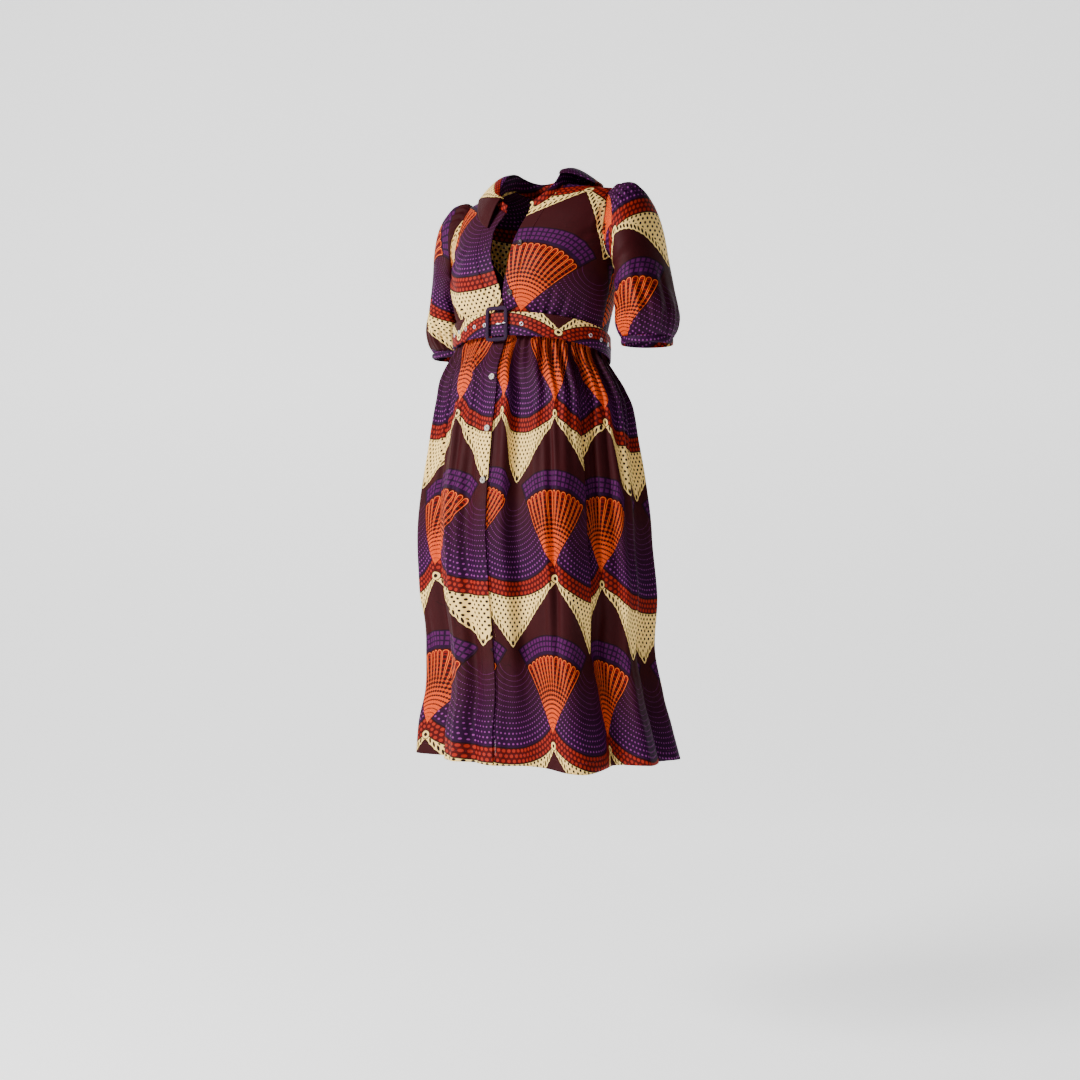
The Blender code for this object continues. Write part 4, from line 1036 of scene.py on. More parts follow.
def sleeve_piece(side):
    """A short sleeve with its gathers at the head and the cuff."""
    points, along = sleeve_points(side, 88)
    facing = grid_facing(points, ring=True)
    facing = facing * np.sign(np.sum(facing * (points - points.mean(axis=1, keepdims=True))))
    across, up = sleeve_print(side, TURNS, along)
    name = "sleeve_" + SIDES[side]
    piece = shell(name + "_cloth", points, facing, across, up, name, ring=True)


def cuff_ring(side, turn, out, height):
    """Places round a cuff, this far off its oval, and the directions they face."""
    x, y = cuff_centre(side)
    points = stack(x + side * (CUFF_HALF_WIDTH + out) * np.cos(turn),
                   y - (CUFF_HALF_DEPTH + out) * np.sin(turn), height)
    facing = stack(side * np.cos(turn) / CUFF_HALF_WIDTH, -np.sin(turn) / CUFF_HALF_DEPTH, 0 * height)
    return points, unit(facing)


def cuff_piece(side):
    """A narrow folded band round the sleeve's end."""
    turn = TURNS[:, :-1]
    share = np.linspace(0, 1, 11)[:, None]
    heights = CUFF_TOP - share * CUFF_HEIGHT
    pull = 0.0006 * np.cos(24 * turn + np.sin(5 * turn)) * (1 - share) + 0.0005 * np.sin(math.pi * share)
    points, facing = cuff_ring(side, turn, pull, heights)
    across = (TURNS - 1.2) * CUFF_FLAT + REPEAT_WIDE / 2
    along = CUFF_PRINT - share * CUFF_HEIGHT
    name = "cuff_" + SIDES[side]
    piece = shell(name + "_cloth", points, facing, across, along, name, thick=HEM_SHELL, ring=True)


def skirt_flat(panel, angle, fall):
    """Flat metres across a skirt panel: more cloth lies in the walls of the deep folds.

    A short table gives the cloth's place at marked angles for three heights, and the rows
    between them are eased from one to the next. The back's place is its share of the way
    along its own folded surface.
    """
    if panel == "back":
        steps = np.linalg.norm(np.diff(skirt(angle, fall), axis=1), axis=-1)
        run = np.concatenate((np.zeros((len(steps), 1)), np.cumsum(steps, axis=1)), axis=1)
        return (run / run[:, -1:] - 0.5) * BACK_CUT
    degrees = np.degrees(angle)
    columns = ("top", "middle", "low")
    top, middle, low = (smooth(SKIRT_PRINT[panel], column, degrees) for column in columns)
    upper = ease((fall - 0.16) / 0.27)
    lower = ease((fall - 0.43) / 0.30)
    return top + (middle - top) * upper + (low - middle) * lower


def skirt_up(angle, fall):
    """Flat metres up the skirt, measured down from the waist's seam to the print's marks."""
    z = skirt(angle, fall)[..., 2]
    return SKIRT_PRINT_UP - (waist_height(angle) - z)


def skirt_piece(name, start, end, columns, panel, under=False, back=False, flat=(0.455, 0.77)):
    """A skirt piece between two lines of angles, hung in folds from the waist's seam."""
    rows = 150
    fall = np.concatenate((np.linspace(SEAM, 0.12, rows // 3, endpoint=False),
                           np.linspace(0.12, SKIRT_FALL, rows - rows // 3)))[:, None]
    angle = start(fall) + (end(fall) - start(fall)) * np.linspace(0, 1, columns)[None, :]
    points, facing = facing_out(skirt_surface, angle, fall + 0 * angle)
    if under:
        off_centre = points[..., 0] - smooth(SKIRT, "centre_x", fall)
        points = points - lap_sink(off_centre - CLOSING)[..., None] * facing
    if back:
        past = np.abs(angle - math.pi) - math.pi / 2
        points = points - (HEM_SHELL + SEAM) * ease((past + 0.004) / 0.008)[..., None] * facing
    across = skirt_flat(panel, angle, fall + 0 * angle)
    along = skirt_up(angle, fall + 0 * angle)
    thick = hem_thickness(SKIRT_FALL - fall + 0 * angle, HEM_FOLD)
    piece = shell(name + "_cloth", apart(points, back), facing, across, along, name, thick=thick)


def line_of(off_centre):
    """The angles of a straight line down the skirt's front, this far off its middle."""
    return lambda fall: skirt_angle(off_centre, fall)


def turned_to(angle):
    """The same angle at every fall."""
    return lambda fall: angle + 0 * fall


class Term:
    """A number in a shader, so that the print can be written down as sums and products."""

    def __init__(self, tree, source):
        self.tree = tree
        self.source = source

    def made(self, kind, *others, clamp=False):
        step = self.tree.nodes.new("ShaderNodeMath")
        step.operation = kind
        step.use_clamp = clamp
        for place, value in enumerate((self, *others)):
            if isinstance(value, Term):
                self.tree.links.new(value.source, step.inputs[place])
            else:
                step.inputs[place].default_value = value
        return Term(self.tree, step.outputs[0])

    def __add__(self, other):
        return self.made("ADD", other)

    def __sub__(self, other):
        return self.made("SUBTRACT", other)

    def __mul__(self, other):
        return self.made("MULTIPLY", other)

    def __truediv__(self, other):
        return self.made("DIVIDE", other)

    def __abs__(self):
        return self.made("ABSOLUTE")

    def apart_from(self, other):
        """Length of two differences taken at a right angle."""
        return (self * self + other * other).made("SQRT")

    def off_centre(self):
        """How far from the middle of its own unit step, from 0 to 0.5."""
        return abs(self.made("FRACT") - 0.5)

    def under(self, limit, soft=0.0004):
        """1 below a limit and 0 above it, with a narrow blurred edge as dye has."""
        limit = limit if isinstance(limit, Term) else self * 0.0 + limit
        return ((limit - self) / soft + 0.5).made("ADD", 0.0, clamp=True)


def srgb(red, green, blue):
    """A colour's linear values from its values of 0 to 255."""
    values = np.array((red, green, blue)) / 255
    linear = np.where(values <= 0.04045, values / 12.92, ((values + 0.055) / 1.055) ** 2.4)
    return tuple(float(v) for v in linear)


def coloured(tree, ground, mask, colour):
    """One colour laid over another where the mask is 1."""
    mix = tree.nodes.new("ShaderNodeMix")
    mix.data_type = "RGBA"
    tree.links.new(mask.source, mix.inputs[0])
    for place, value in ((6, ground), (7, colour)):
        if isinstance(value, bpy.types.NodeSocket):
            tree.links.new(value, mix.inputs[place])
        else:
            mix.inputs[place].default_value = (*value, 1.0)
    return mix.outputs[2]


def print_colours(tree, across, up, look):
    """The repeat: a ribbed fan on a plum ground with scallops of dots, a brick band and a cream V.

    Columns are one width apart and mirrored about their own middle. A repeat starts where a
    slanting line crosses it, so that whole motifs are drawn. Scallops and their dots are
    rings and rays about a centre half a width to the side; ribs are rays about the fan's foot.
    """
    half = REPEAT_WIDE / 2
    ax = abs(across - (across / REPEAT_WIDE + 0.5).made("FLOOR") * REPEAT_WIDE)
    start = ax * (-START_FALL / half) + START_UP
    y = ((up - start) / REPEAT_HIGH).made("FRACT") * REPEAT_HIGH + start - REPEAT_HIGH
    px, py = ax * -1.0 + half, y * -1.0 + SCALLOP_UP
    ring = px.apart_from(py)
    turn = px.made("ARCTAN2", py)

    def dots(distance, step, spread, radius):
        """Dots on rays about the scallop's centre, every other ring moved half a step."""
        rings = distance / step
        rays = turn / math.radians(spread) + rings.made("FLOOR").made("MODULO", 2.0) * 0.5
        sideways = rays.off_centre() * math.radians(spread) * ring
        return sideways.apart_from(rings.off_centre() * step).under(radius)

    colour = look["plum"]

    def lay(mask, paint):
        """Lay a named colour, or one worked out here, over the print where the mask is 1."""
        nonlocal colour
        colour = coloured(tree, colour, mask, look[paint] if isinstance(paint, str) else paint)

    below = y.under(0.11)
    depth = ((y + 0.02) / 0.13).made("ADD", 0.0, clamp=True)
    lay(ring.under(BRICK_IN) * below, coloured(tree, look["purple"], depth, look["plum"]))
    size = (ring / 0.156) * (ring / 0.156) * 0.0017 + 0.0003
    rays_on = ring.under(0.150) * (ring * -1.0).under(-0.030) * below
    lay(dots(ring, 0.009, 3.07, size) * rays_on, "lilac")
    brick = ring.under(BRICK_OUT) * (ring * -1.0).under(-BRICK_IN)
    lay(brick, "brick")
    lay(dots(ring - BRICK_IN, 0.0087, 3.05, 0.0030) * brick, "rust")
    wave = (ax * (math.pi / 0.009)).made("SINE")
    edge = (y + 0.045 + ax * 1.07 - abs(wave) * 0.0015) * 0.68
    cream = (ring * -1.0).under(-BRICK_OUT) * (edge * -1.0).under(0.0)
    lay(cream, "cream")
    strip = edge.under(0.0095)
    lay(dots(ring - BRICK_OUT, 0.0070, 3.0, 0.0024) * cream * (strip * -1.0 + 1.0), "dark")
    beads = ((ax * 1.46) / 0.0098).off_centre() * 0.0098
    lay(beads.apart_from(edge - 0.0048).under(0.0031) * cream, "dark")
    for radius, inside, outside in ((BRICK_IN, 0.0012, 0.0008), (BRICK_OUT, 0.0008, 0.0010)):
        line = ring - radius
        outline = (line * -1.0).under(inside) * line.under(outside)
        lay(outline * (y - 0.2).under(0.0), "dark")
    lay((edge * -1.0).under(0.0012) * edge.under(0.0) * (ring * -1.0).under(-BRICK_OUT), "dark")
    centre = ax.apart_from(y + CUSP_DOWN)
    for radius, tone in ((0.0086, "dark"), (0.0072, "cream"), (0.0036, "dark")):
        lay(centre.under(radius), tone)

    foot = y + FAN_DOWN
    reach = ax.apart_from(foot)
    lean = ax.made("ARCTAN2", foot)
    between = lean.under(FAN_HALF, 0.004) * reach.under(SQUARES_OUT)
    lay(lean.under(FAN_HALF + 0.014, 0.004) * reach.under(SQUARES_OUT + 0.0015), "dark")
    lay(between, "violet_ground")
    square_a = (lean / SQUARE_TURN).off_centre()
    square_r = ((reach - SQUARES_IN) / SQUARE_STEP).off_centre()
    squares = square_a.made("MAXIMUM", square_r).under(0.34, 0.06)
    lay(squares * between * (reach * -1.0).under(-SQUARES_IN), "violet")
    side = (lean / FAN_RIB + 0.5).off_centre() * FAN_RIB * reach
    past = (reach - RIB_END).made("MAXIMUM", 0.0)
    girth = reach.made("MINIMUM", RIB_END) * (0.5 * FAN_RIB)
    share = side.apart_from(past) / girth
    fan = lean.under(FAN_HALF, 0.004) * reach.under(FAN_END)
    lay(fan, "maroon")
    lay(share.under(0.86, 0.10) * fan, "peach")
    outer = ((reach - 0.050) / 0.040).made("ADD", 0.0, clamp=True)
    lay(share.under(0.67, 0.10) * fan, coloured(tree, look["orange"], outer, look["red"]))
    bead = (girth * 0.84).made("MINIMUM", 0.0030)
    row = (reach / 0.0078).off_centre() * 0.0078
    lay(side.apart_from(row).under(bead) * fan * reach.under(0.128), "maroon")
    return colour


def principled(name):
    """An emptied material with its main shader, and the tree to add to."""
    material = bpy.data.materials.get(name) or bpy.data.materials.new(name)
    material.use_nodes = True
    tree = material.node_tree
    tree.nodes.clear()
    shader = tree.nodes.new("ShaderNodeBsdfPrincipled")
    output = tree.nodes.new("ShaderNodeOutputMaterial")
    tree.links.new(shader.outputs["BSDF"], output.inputs["Surface"])
    return material, tree, shader


def bump(tree, shader, height, distance, strength, over=None):
    """Relief on a shader from a height."""
    node = tree.nodes.new("ShaderNodeBump")
    node.inputs["Strength"].default_value = strength
    node.inputs["Distance"].default_value = distance
    tree.links.new(height, node.inputs["Height"])
    if over is not None:
        tree.links.new(over, node.inputs["Normal"])
    tree.links.new(node.outputs["Normal"], shader.inputs["Normal"])
    return node.outputs["Normal"]


def split(tree, vector):
    """The three numbers of a vector."""
    parts = tree.nodes.new("ShaderNodeSeparateXYZ")
    tree.links.new(vector, parts.inputs["Vector"])
    return [Term(tree, output) for output in parts.outputs]


def noise(tree, vector, scale, detail=2.0):
    """A soft noise over a vector, as a number from 0 to 1."""
    node = tree.nodes.new("ShaderNodeTexNoise")
    node.inputs["Scale"].default_value = scale
    node.inputs["Detail"].default_value = detail
    tree.links.new(vector, node.inputs["Vector"])
    return Term(tree, node.outputs[0])


def weave(across, up, thread):
    """The height of a plain weave: two crossed sets of rounded threads."""
    warp = abs((across * (math.pi / thread)).made("SINE"))
    weft = abs((up * (math.pi / thread)).made("SINE"))
    over = ((across / thread).made("FLOOR") + (up / thread).made("FLOOR")).made("MODULO", 2.0)
    return warp * over + weft * (over * -1.0 + 1.0)


def shaded(tree, shader, colour, tone):
    """A base colour, or a socket that gives one, made lighter and darker by a tone."""
    shade = tree.nodes.new("ShaderNodeVectorMath")
    shade.operation = "SCALE"
    if isinstance(colour, bpy.types.NodeSocket):
        tree.links.new(colour, shade.inputs[0])
    else:
        shade.inputs[0].default_value = colour
    tree.links.new(tone.source, shade.inputs["Scale"])
    tree.links.new(shade.outputs[0], shader.inputs["Base Color"])
    return shade.outputs[0]


def cotton(name, roughness, relief):
    """Printed cotton: the repeat with worn dye, fine crackle, a plain weave and small handling creases."""
    if name in bpy.data.materials:
        return bpy.data.materials[name]
    colours = bpy.context.scene.dress_colours
    material, tree, shader = principled(name)
    look = {key: tuple(getattr(colours, key)) for key in PRINT_TONES}
    texture = tree.nodes.new("ShaderNodeUVMap")
    texture.uv_map = "flat_cloth"
    cloth = texture.outputs["UV"]
    across, up, _ = split(tree, cloth)
    drift = noise(tree, cloth, 46.0) - 0.5
    colour = print_colours(tree, across + drift * 0.0016, up + drift * 0.0014, look)
    cells = tree.nodes.new("ShaderNodeTexVoronoi")
    cells.feature = "DISTANCE_TO_EDGE"
    cells.inputs["Scale"].default_value = 62.0
    tree.links.new(cloth, cells.inputs["Vector"])
    cracks = Term(tree, cells.outputs["Distance"]).under(0.018, 0.02)
    some = (noise(tree, cloth, 9.0) * -1.0).under(-0.56, 0.10)
    colour = coloured(tree, colour, cracks * some * 0.45, look["dark"])
    shaded(tree, shader, colour, noise(tree, cloth, 14.0, 4.0) * 0.34 + 0.83)
    rough = noise(tree, cloth, 70.0, 3.0) * 0.16 + (roughness - 0.08)
    tree.links.new(rough.source, shader.inputs["Roughness"])
    shader.inputs["Specular IOR Level"].default_value = 0.10
    crumple = noise(tree, cloth, 34.0, 3.0)
    first = bump(tree, shader, crumple.source, 0.0016, relief)
    threads = weave(across, up, bpy.context.scene.dress_sizes.thread)
    bump(tree, shader, threads.source, 0.00012, 0.35, first)
    return material


def print_material():
    """The dress cotton."""
    return cotton("wax_print_cotton", 0.62, 0.45)


def belt_material():
    """The belt's covering of the same cotton over a stiff core."""
    return cotton("wax_print_belt", 0.56, 0.20)


def surface_material(name, colour, roughness, metallic=0.0, scale=400.0, relief=0.25, contrast=0.2, coat=0.0):
    """A plain finish with fine mottling, worn roughness and a little relief, on the piece's own places."""
    if name in bpy.data.materials:
        return bpy.data.materials[name]
    material, tree, shader = principled(name)
    place = tree.nodes.new("ShaderNodeTexCoord").outputs["Object"]
    grain = noise(tree, place, scale, 4.0)
    wide = noise(tree, place, scale * 0.22, 2.0)
    shaded(tree, shader, colour, (grain * 0.6 + wide * 0.4) * (2 * contrast) + (1 - contrast))
    rough = wide * 0.2 + (roughness - 0.1)
    tree.links.new(rough.source, shader.inputs["Roughness"])
    shader.inputs["Metallic"].default_value = metallic
    shader.inputs["Coat Weight"].default_value = coat
    bump(tree, shader, grain.source, 0.0002, relief)
    return material


def thread_material():
    """Sewing thread in the print's plum."""
    return surface_material("plum_thread", tuple(bpy.context.scene.dress_colours.thread), 0.6, scale=2500.0)


def covered_material():
    """The dark cloth over the buckle and the cuff's button, with its weave on two sets of planes and a faint
    painted highlight on the crowns of its threads.
    """
    name = "buckle_cloth"
    if name in bpy.data.materials:
        return bpy.data.materials[name]
    material, tree, shader = principled(name)
    place = tree.nodes.new("ShaderNodeTexCoord").outputs["Object"]
    x, _, z = split(tree, place)
    threads = weave(x, z, 0.0006)
    patches = noise(tree, place, 160.0, 2.0).under(0.5, 0.06)
    colours = bpy.context.scene.dress_colours
    colour = coloured(tree, tuple(colours.buckle), patches * 0.4, tuple(colours.purple))
    # Lilac laid by the weave's height: a painted highlight on the thread crowns, with painted shade in the
    # gaps between threads
    colour = coloured(tree, colour, threads * 0.08, tuple(colours.lilac))
    tree.links.new(colour, shader.inputs["Base Color"])
    rough = noise(tree, place, 300.0, 2.0) * 0.2 + 0.55
    tree.links.new(rough.source, shader.inputs["Roughness"])
    shader.inputs["Specular IOR Level"].default_value = 0.15
    bump(tree, shader, threads.source, 0.00015, 0.5)
    return material


def dashes(name, lines, length, gap, radius):
    """Sewn stitches: a thin spindle for each dash along lines of points with their outward directions.

    Each spindle has two ends and four points about its middle, pressed half into the cloth.
    """
    places, ways, outs = [], [], []
    for points, facing in lines:
        points, facing = np.asarray(points), np.asarray(facing)
        run = run_of(points)
        count = max(int(run[-1] / (length + gap)), 1)
        middle = (np.arange(count) + 0.5) * run[-1] / count
        places.append(read_at(middle, run, points))
        ahead, behind = (read_at(middle + reach, run, points) for reach in (length / 2, -length / 2))
        ways.append(unit(ahead - behind))
        outs.append(unit(read_at(middle, run, facing)))
    at, way, out = np.concatenate(places), np.concatenate(ways), np.concatenate(outs)
    side = unit(np.cross(way, out))
    out = np.cross(side, way)
    at = at + out * radius * 0.35
    tail, head = (at + way * reach - out * radius * 0.5 for reach in (-length / 2, length / 2))
    corners = np.stack((tail, head, at + side * radius, at + out * radius,
                        at - side * radius, at - out * radius), axis=1)
    faces = np.array(((0, 3, 2), (0, 4, 3), (0, 5, 4), (0, 2, 5), (1, 2, 3), (1, 3, 4), (1, 4, 5), (1, 5, 2)))
    every = (faces[None] + 6 * np.arange(len(at))[:, None, None]).reshape(-1, 3)
    mesh = mesh_from(name, corners.reshape(-1, 3), every)
    mesh.polygons.foreach_set("use_smooth", np.ones(len(every), dtype=bool))
    place_piece(name, mesh, thread_material(), "printed_cotton")


def stitches(name, lines):
    """Ordinary rows of stitches along lines, as the settings have them."""
    sizes = bpy.context.scene.dress_sizes
    dashes(name, lines, sizes.stitch, sizes.stitch_gap, sizes.thread_radius)


def turned_piece(name, points, material, slot, replaces=(), closed=False):
    """A closed piece from rings of points; first and last rings that are single places are merged."""
    mesh = mesh_from(name, points.reshape(-1, 3), grid_faces(*points.shape[:2], closed=closed))
    weld(mesh)
    return place_piece(name, mesh, material, slot, replaces)


def weld(mesh, smooth_angle=0.9):
    """Merge equal points, turn the faces outward and shade the soft ones smoothly."""
    work = bmesh.new()
    work.from_mesh(mesh)
    bmesh.ops.remove_doubles(work, verts=work.verts, dist=1e-7)
    bmesh.ops.recalc_face_normals(work, faces=work.faces)
    for face in work.faces:
        face.smooth = True
    for edge in work.edges:
        if len(edge.link_faces) == 2 and edge.calc_face_angle() > smooth_angle:
            edge.smooth = False
    work.to_mesh(mesh)
    work.free()
    mesh.update()


def local_axes(facing):
    """Sideways and upward directions on a surface."""
    across = unit(np.cross(facing, np.array((0.0, 0.0, 1.0))))
    return across, np.cross(across, facing)


def button_piece(node, ending, place, facing, material, slot):
    """A four-hole button: a turned profile whose face is dished and dips into its four holes."""
    across, upward = local_axes(facing)
    profile = np.array((
        (0.0, 0.0), (0.5, 0.0), (0.86, 0.0), (0.95, 0.12), (1.0, 0.32), (1.0, 0.55),
        (0.97, 0.80), (0.91, 0.96), (0.84, 1.0), (0.77, 0.96), (0.70, 0.84), (0.64, 0.74),
    ))
    inner = np.linspace(0.62, 0.0, 26)[:, None]
    inner = np.concatenate((inner, 0.70 + 0 * inner), axis=1)
    profile = np.concatenate((profile, inner))
    columns = 64
    turn = 2 * math.pi * np.arange(columns) / columns
    share, rise = profile[:, :1], profile[:, 1:]
    x, y = share * np.cos(turn), share * np.sin(turn)
    hole = np.zeros_like(x)
    for sx, sy in ((-1, -1), (-1, 1), (1, -1), (1, 1)):
        off = np.hypot(x - BUTTON_HOLES * sx, y - BUTTON_HOLES * sy)
        hole = np.maximum(hole, 1 - ease((off - 0.10) / 0.05))
    face = np.arange(len(profile))[:, None] >= 11
    rise = rise - 0.52 * hole * face
    points = place + BUTTON_RADIUS * (x[..., None] * across + y[..., None] * upward)
    points = points + (rise * BUTTON_THICK)[..., None] * facing
    turned_piece(node + ending, points, material, slot, (node,))


def button_thread(name, place, facing):
    """Two crossed bars of thread over a button's holes."""
    across, upward = local_axes(facing)
    lines = []
    reach = BUTTON_HOLES * BUTTON_RADIUS
    for sx, sy in ((1, 1), (1, -1)):
        for shift in (-0.00022, 0.00022):
            steps = np.linspace(-1, 1, 9)[:, None]
            lift = 0.74 * BUTTON_THICK + 0.0004 * (1 - steps**2)
            line = place + steps * reach * (sx * across + sy * upward) + lift * facing
            lines.append((line + shift * (sx * across - sy * upward), np.broadcast_to(facing, line.shape)))
    dashes(name, lines, 0.0034, 0.0001, 0.00026)


def button(node, ending, place, facing, material, slot):
    """A button that stands for one of the frame's, and the thread through it."""
    button_piece(node, ending, place, facing, material, slot)
    button_thread(node + "_thread", place, facing)


def cuff_button_piece():
    """A small domed button covered in the dark cloth, on the right cuff."""
    place, facing = cuff_ring(-1, math.radians(34), 0.0, CUFF_TOP - CUFF_HEIGHT / 2)
    place = place + facing * SEAM
    across, upward = local_axes(facing)
    lean = np.linspace(0, math.pi / 2, 14)
    share = np.concatenate(((0.0, 0.80, 0.97), np.cos(lean)))[:, None]
    rise = np.concatenate(((0.0, 0.0, 0.10), 0.25 + 0.75 * np.sin(lean)))[:, None]
    around = 2 * math.pi * np.arange(48) / 48
    fold = 1 + 0.012 * np.sin(12 * around) * (share > 0.8)
    rays = np.cos(around)[:, None] * across + np.sin(around)[:, None] * upward
    points = place + COVERED_RADIUS * (share * fold)[..., None] * rays
    points = points + (COVERED_HEIGHT * rise + 0 * around)[..., None] * facing
    turned_piece("cuff_button_covered", points, covered_material(), "covered_buckle", ("cuff_button",))


def buckle_path(half_width, half_height, corner, out, steps):
    """Places round a rounded rectangle in the buckle's own plane, bowed like the belt it lies on."""
    turn = np.concatenate([np.linspace(90 * q, 90 * q + 90, steps) for q in range(4)])
    sign_x = np.repeat((1, -1, -1, 1), steps)
    sign_z = np.repeat((1, 1, -1, -1), steps)
    turn = np.radians(turn)
    x = sign_x * (half_width - corner) + corner * np.cos(turn)
    z = sign_z * (half_height - corner) + corner * np.sin(turn)
    whole = np.stack((x, np.full_like(x, out), z), axis=1)
    whole = np.concatenate((whole, whole[:1]))
    run = run_of(whole)
    return read_at(np.linspace(0, run[-1], 8 * steps + 1)[:-1], run, whole)


def buckle_points(local):
    """World places of points given across, out and up from the buckle's middle."""
    return np.stack([buckle_place(*row) for row in local])


def squared_tube(local, half_side, half_out, sides=28, closed=True, power=0.62):
    """Rings with rounded-square sections along places in the buckle's own plane."""
    if closed:
        along = np.roll(local, -1, axis=0) - np.roll(local, 1, axis=0)
    else:
        along = np.gradient(local, axis=0)
    along = unit(along)
    base = np.array((0.0, 1.0, 0.0))
    side = unit(np.cross(along, base))
    third = np.cross(side, along)
    turn = 2 * math.pi * (np.arange(sides) + 0.5) / sides
    a = np.sign(np.cos(turn)) * np.abs(np.cos(turn)) ** power
    b = np.sign(np.sin(turn)) * np.abs(np.sin(turn)) ** power
    half_side = np.broadcast_to(half_side, len(local))[:, None, None]
    half_out = np.broadcast_to(half_out, len(local))[:, None, None]
    rings = local[:, None] + half_side * a[None, :, None] * side[:, None]
    rings = rings + half_out * b[None, :, None] * third[:, None]
    return buckle_points(rings.reshape(-1, 3)).reshape(rings.shape)


def capped(rings):
    """Rings with one more at each end, whose points all lie at the end ring's middle."""
    first, last = (np.broadcast_to(rings[k].mean(axis=0), rings[:1].shape) for k in (0, -1))
    return np.concatenate((first, rings, last))


def buckle_pieces():
    """The covered frame with its wrapped corners and small puckers all round, the bar behind the tongue, and
    the prong.
    """
    half_width = (BUCKLE_WIDTH - BUCKLE_BAR) / 2
    half_height = (BUCKLE_HEIGHT - BUCKLE_BAR) / 2
    middle = (BUCKLE_NEAR + BUCKLE_FAR) / 2
    local = buckle_path(half_width, half_height, 0.0050, middle, 14)
    count = len(local)
    place = np.arange(count) / count
    pucker = 0.00016 * np.sin(2 * math.pi * 37 * place)
    rings = squared_tube(local, BUCKLE_BAR / 2 + pucker, (BUCKLE_FAR - BUCKLE_NEAR) / 2 + pucker)
    cloth = covered_material()
    turned_piece("buckle_covered", rings, cloth, "covered_buckle", ("buckle_frame",), closed=True)
    up = np.linspace(1, -1, 41)
    reach = np.abs(up) * half_height
    out = 0.0016 + (middle - 0.0016) * ease((np.abs(up) - 0.84) / 0.16)
    bar = np.stack((0 * up, out, np.sign(up) * reach), axis=1)
    rings = squared_tube(bar, 0.0026, 0.0014, sides=16, closed=False)
    turned_piece("buckle_bar", capped(rings), cloth, "covered_buckle")
    over = BELT_THICK + TONGUE_LIFT + PRONG_RADIUS + SEAM
    tip = BUCKLE_FAR + PRONG_RADIUS + SEAM
    edge = BUCKLE_WIDTH / 2
    inside = edge - BUCKLE_BAR
    line = np.array(((-0.002, over, 0.0), (0.006, over, 0.0), (inside - 0.0055, over + 0.0012, 0.0),
                     (inside - 0.001, tip, 0.0), (edge - 0.002, tip, 0.0)))
    line = rounded(line, 48)
    share = np.linspace(0, 1, 48)
    radius = PRONG_RADIUS * (1.0 - 0.45 * ease((share - 0.55) / 0.45))
    radius[0], radius[-1] = PRONG_RADIUS * 0.8, PRONG_RADIUS * 0.35
    rings = squared_tube(line, radius, radius, sides=20, closed=False, power=1.0)
    tone = tuple(bpy.context.scene.dress_colours.steel)
    steel = surface_material("brushed_steel", tone, 0.28, metallic=1.0, scale=1400.0, contrast=0.12)
    turned_piece("prong_steel", capped(rings), steel, "steel", ("buckle_prong",))


def belt_frame(turn, across_share, out):
    """Places on the belt: a turn round the waist, a share of its width and a distance out."""
    lift = TONGUE_LIFT * ease((-turn - TONGUE_RISE_FROM) / TONGUE_RISE)
    middle, facing = belt_line(turn, lift)
    points = middle + np.multiply.outer(across_share * BELT_WIDTH / 2, np.array((0.0, 0.0, 1.0)))
    return points + facing * np.asarray(out)[..., None], facing


def belt_piece():
    """The belt: a stiff strip covered in the print, with rounded edges and a pressed line along each."""
    start = -0.0040 / (BODY["half_width"][-1] + BELT_STAND)
    turn = np.linspace(start, -2 * math.pi - TONGUE_REACH, 620)[None, :]
    rim = np.linspace(1, 0.94, 4)
    share = np.concatenate((rim, np.linspace(0.90, -0.90, 19), -rim[::-1]))[:, None]
    tip = 1 - 0.30 * ease((turn + 2 * math.pi + TONGUE_REACH - 0.06) / -0.06)
    share_here = share * tip
    curve = 0.0007 * (1 - np.clip((1 - np.abs(share)) / 0.06, 0, 1)) ** 2
    press = 0.0003 * np.exp(-(((1 - np.abs(share)) * BELT_WIDTH / 2 - 0.0030) / 0.0009) ** 2)
    soft = 0.00035 * np.sin(turn * 31 + 2.2 * np.sin(turn * 5)) * (1 - share**2)
    outer, _ = belt_frame(turn + 0 * share, share_here, BELT_THICK - curve - press + soft)
    inner, _ = belt_frame(turn + 0 * share, share_here, curve + 0 * soft)
    length = run_of(outer[13])
    across = length[None, :] - BELT_PRINT[2] + 0 * share
    along = BELT_PRINT[0] + (share + 1) / 2 * (BELT_PRINT[1] - BELT_PRINT[0]) + 0 * turn
    mesh = surface_mesh("belt_cloth", outer, inner, across, along, False)
    piece = place_piece("belt_cloth", mesh, belt_material(), "printed_belt", ("belt_strap",))
    lines = []
    for row_share in (STITCH_SHARE, -STITCH_SHARE):
        shares = np.full(turn.shape[1], row_share)
        lines.append(belt_frame(turn[0], shares, 0 * shares + BELT_THICK - 0.0002))
    stitches("belt_stitching", lines)
    return turn[0], length


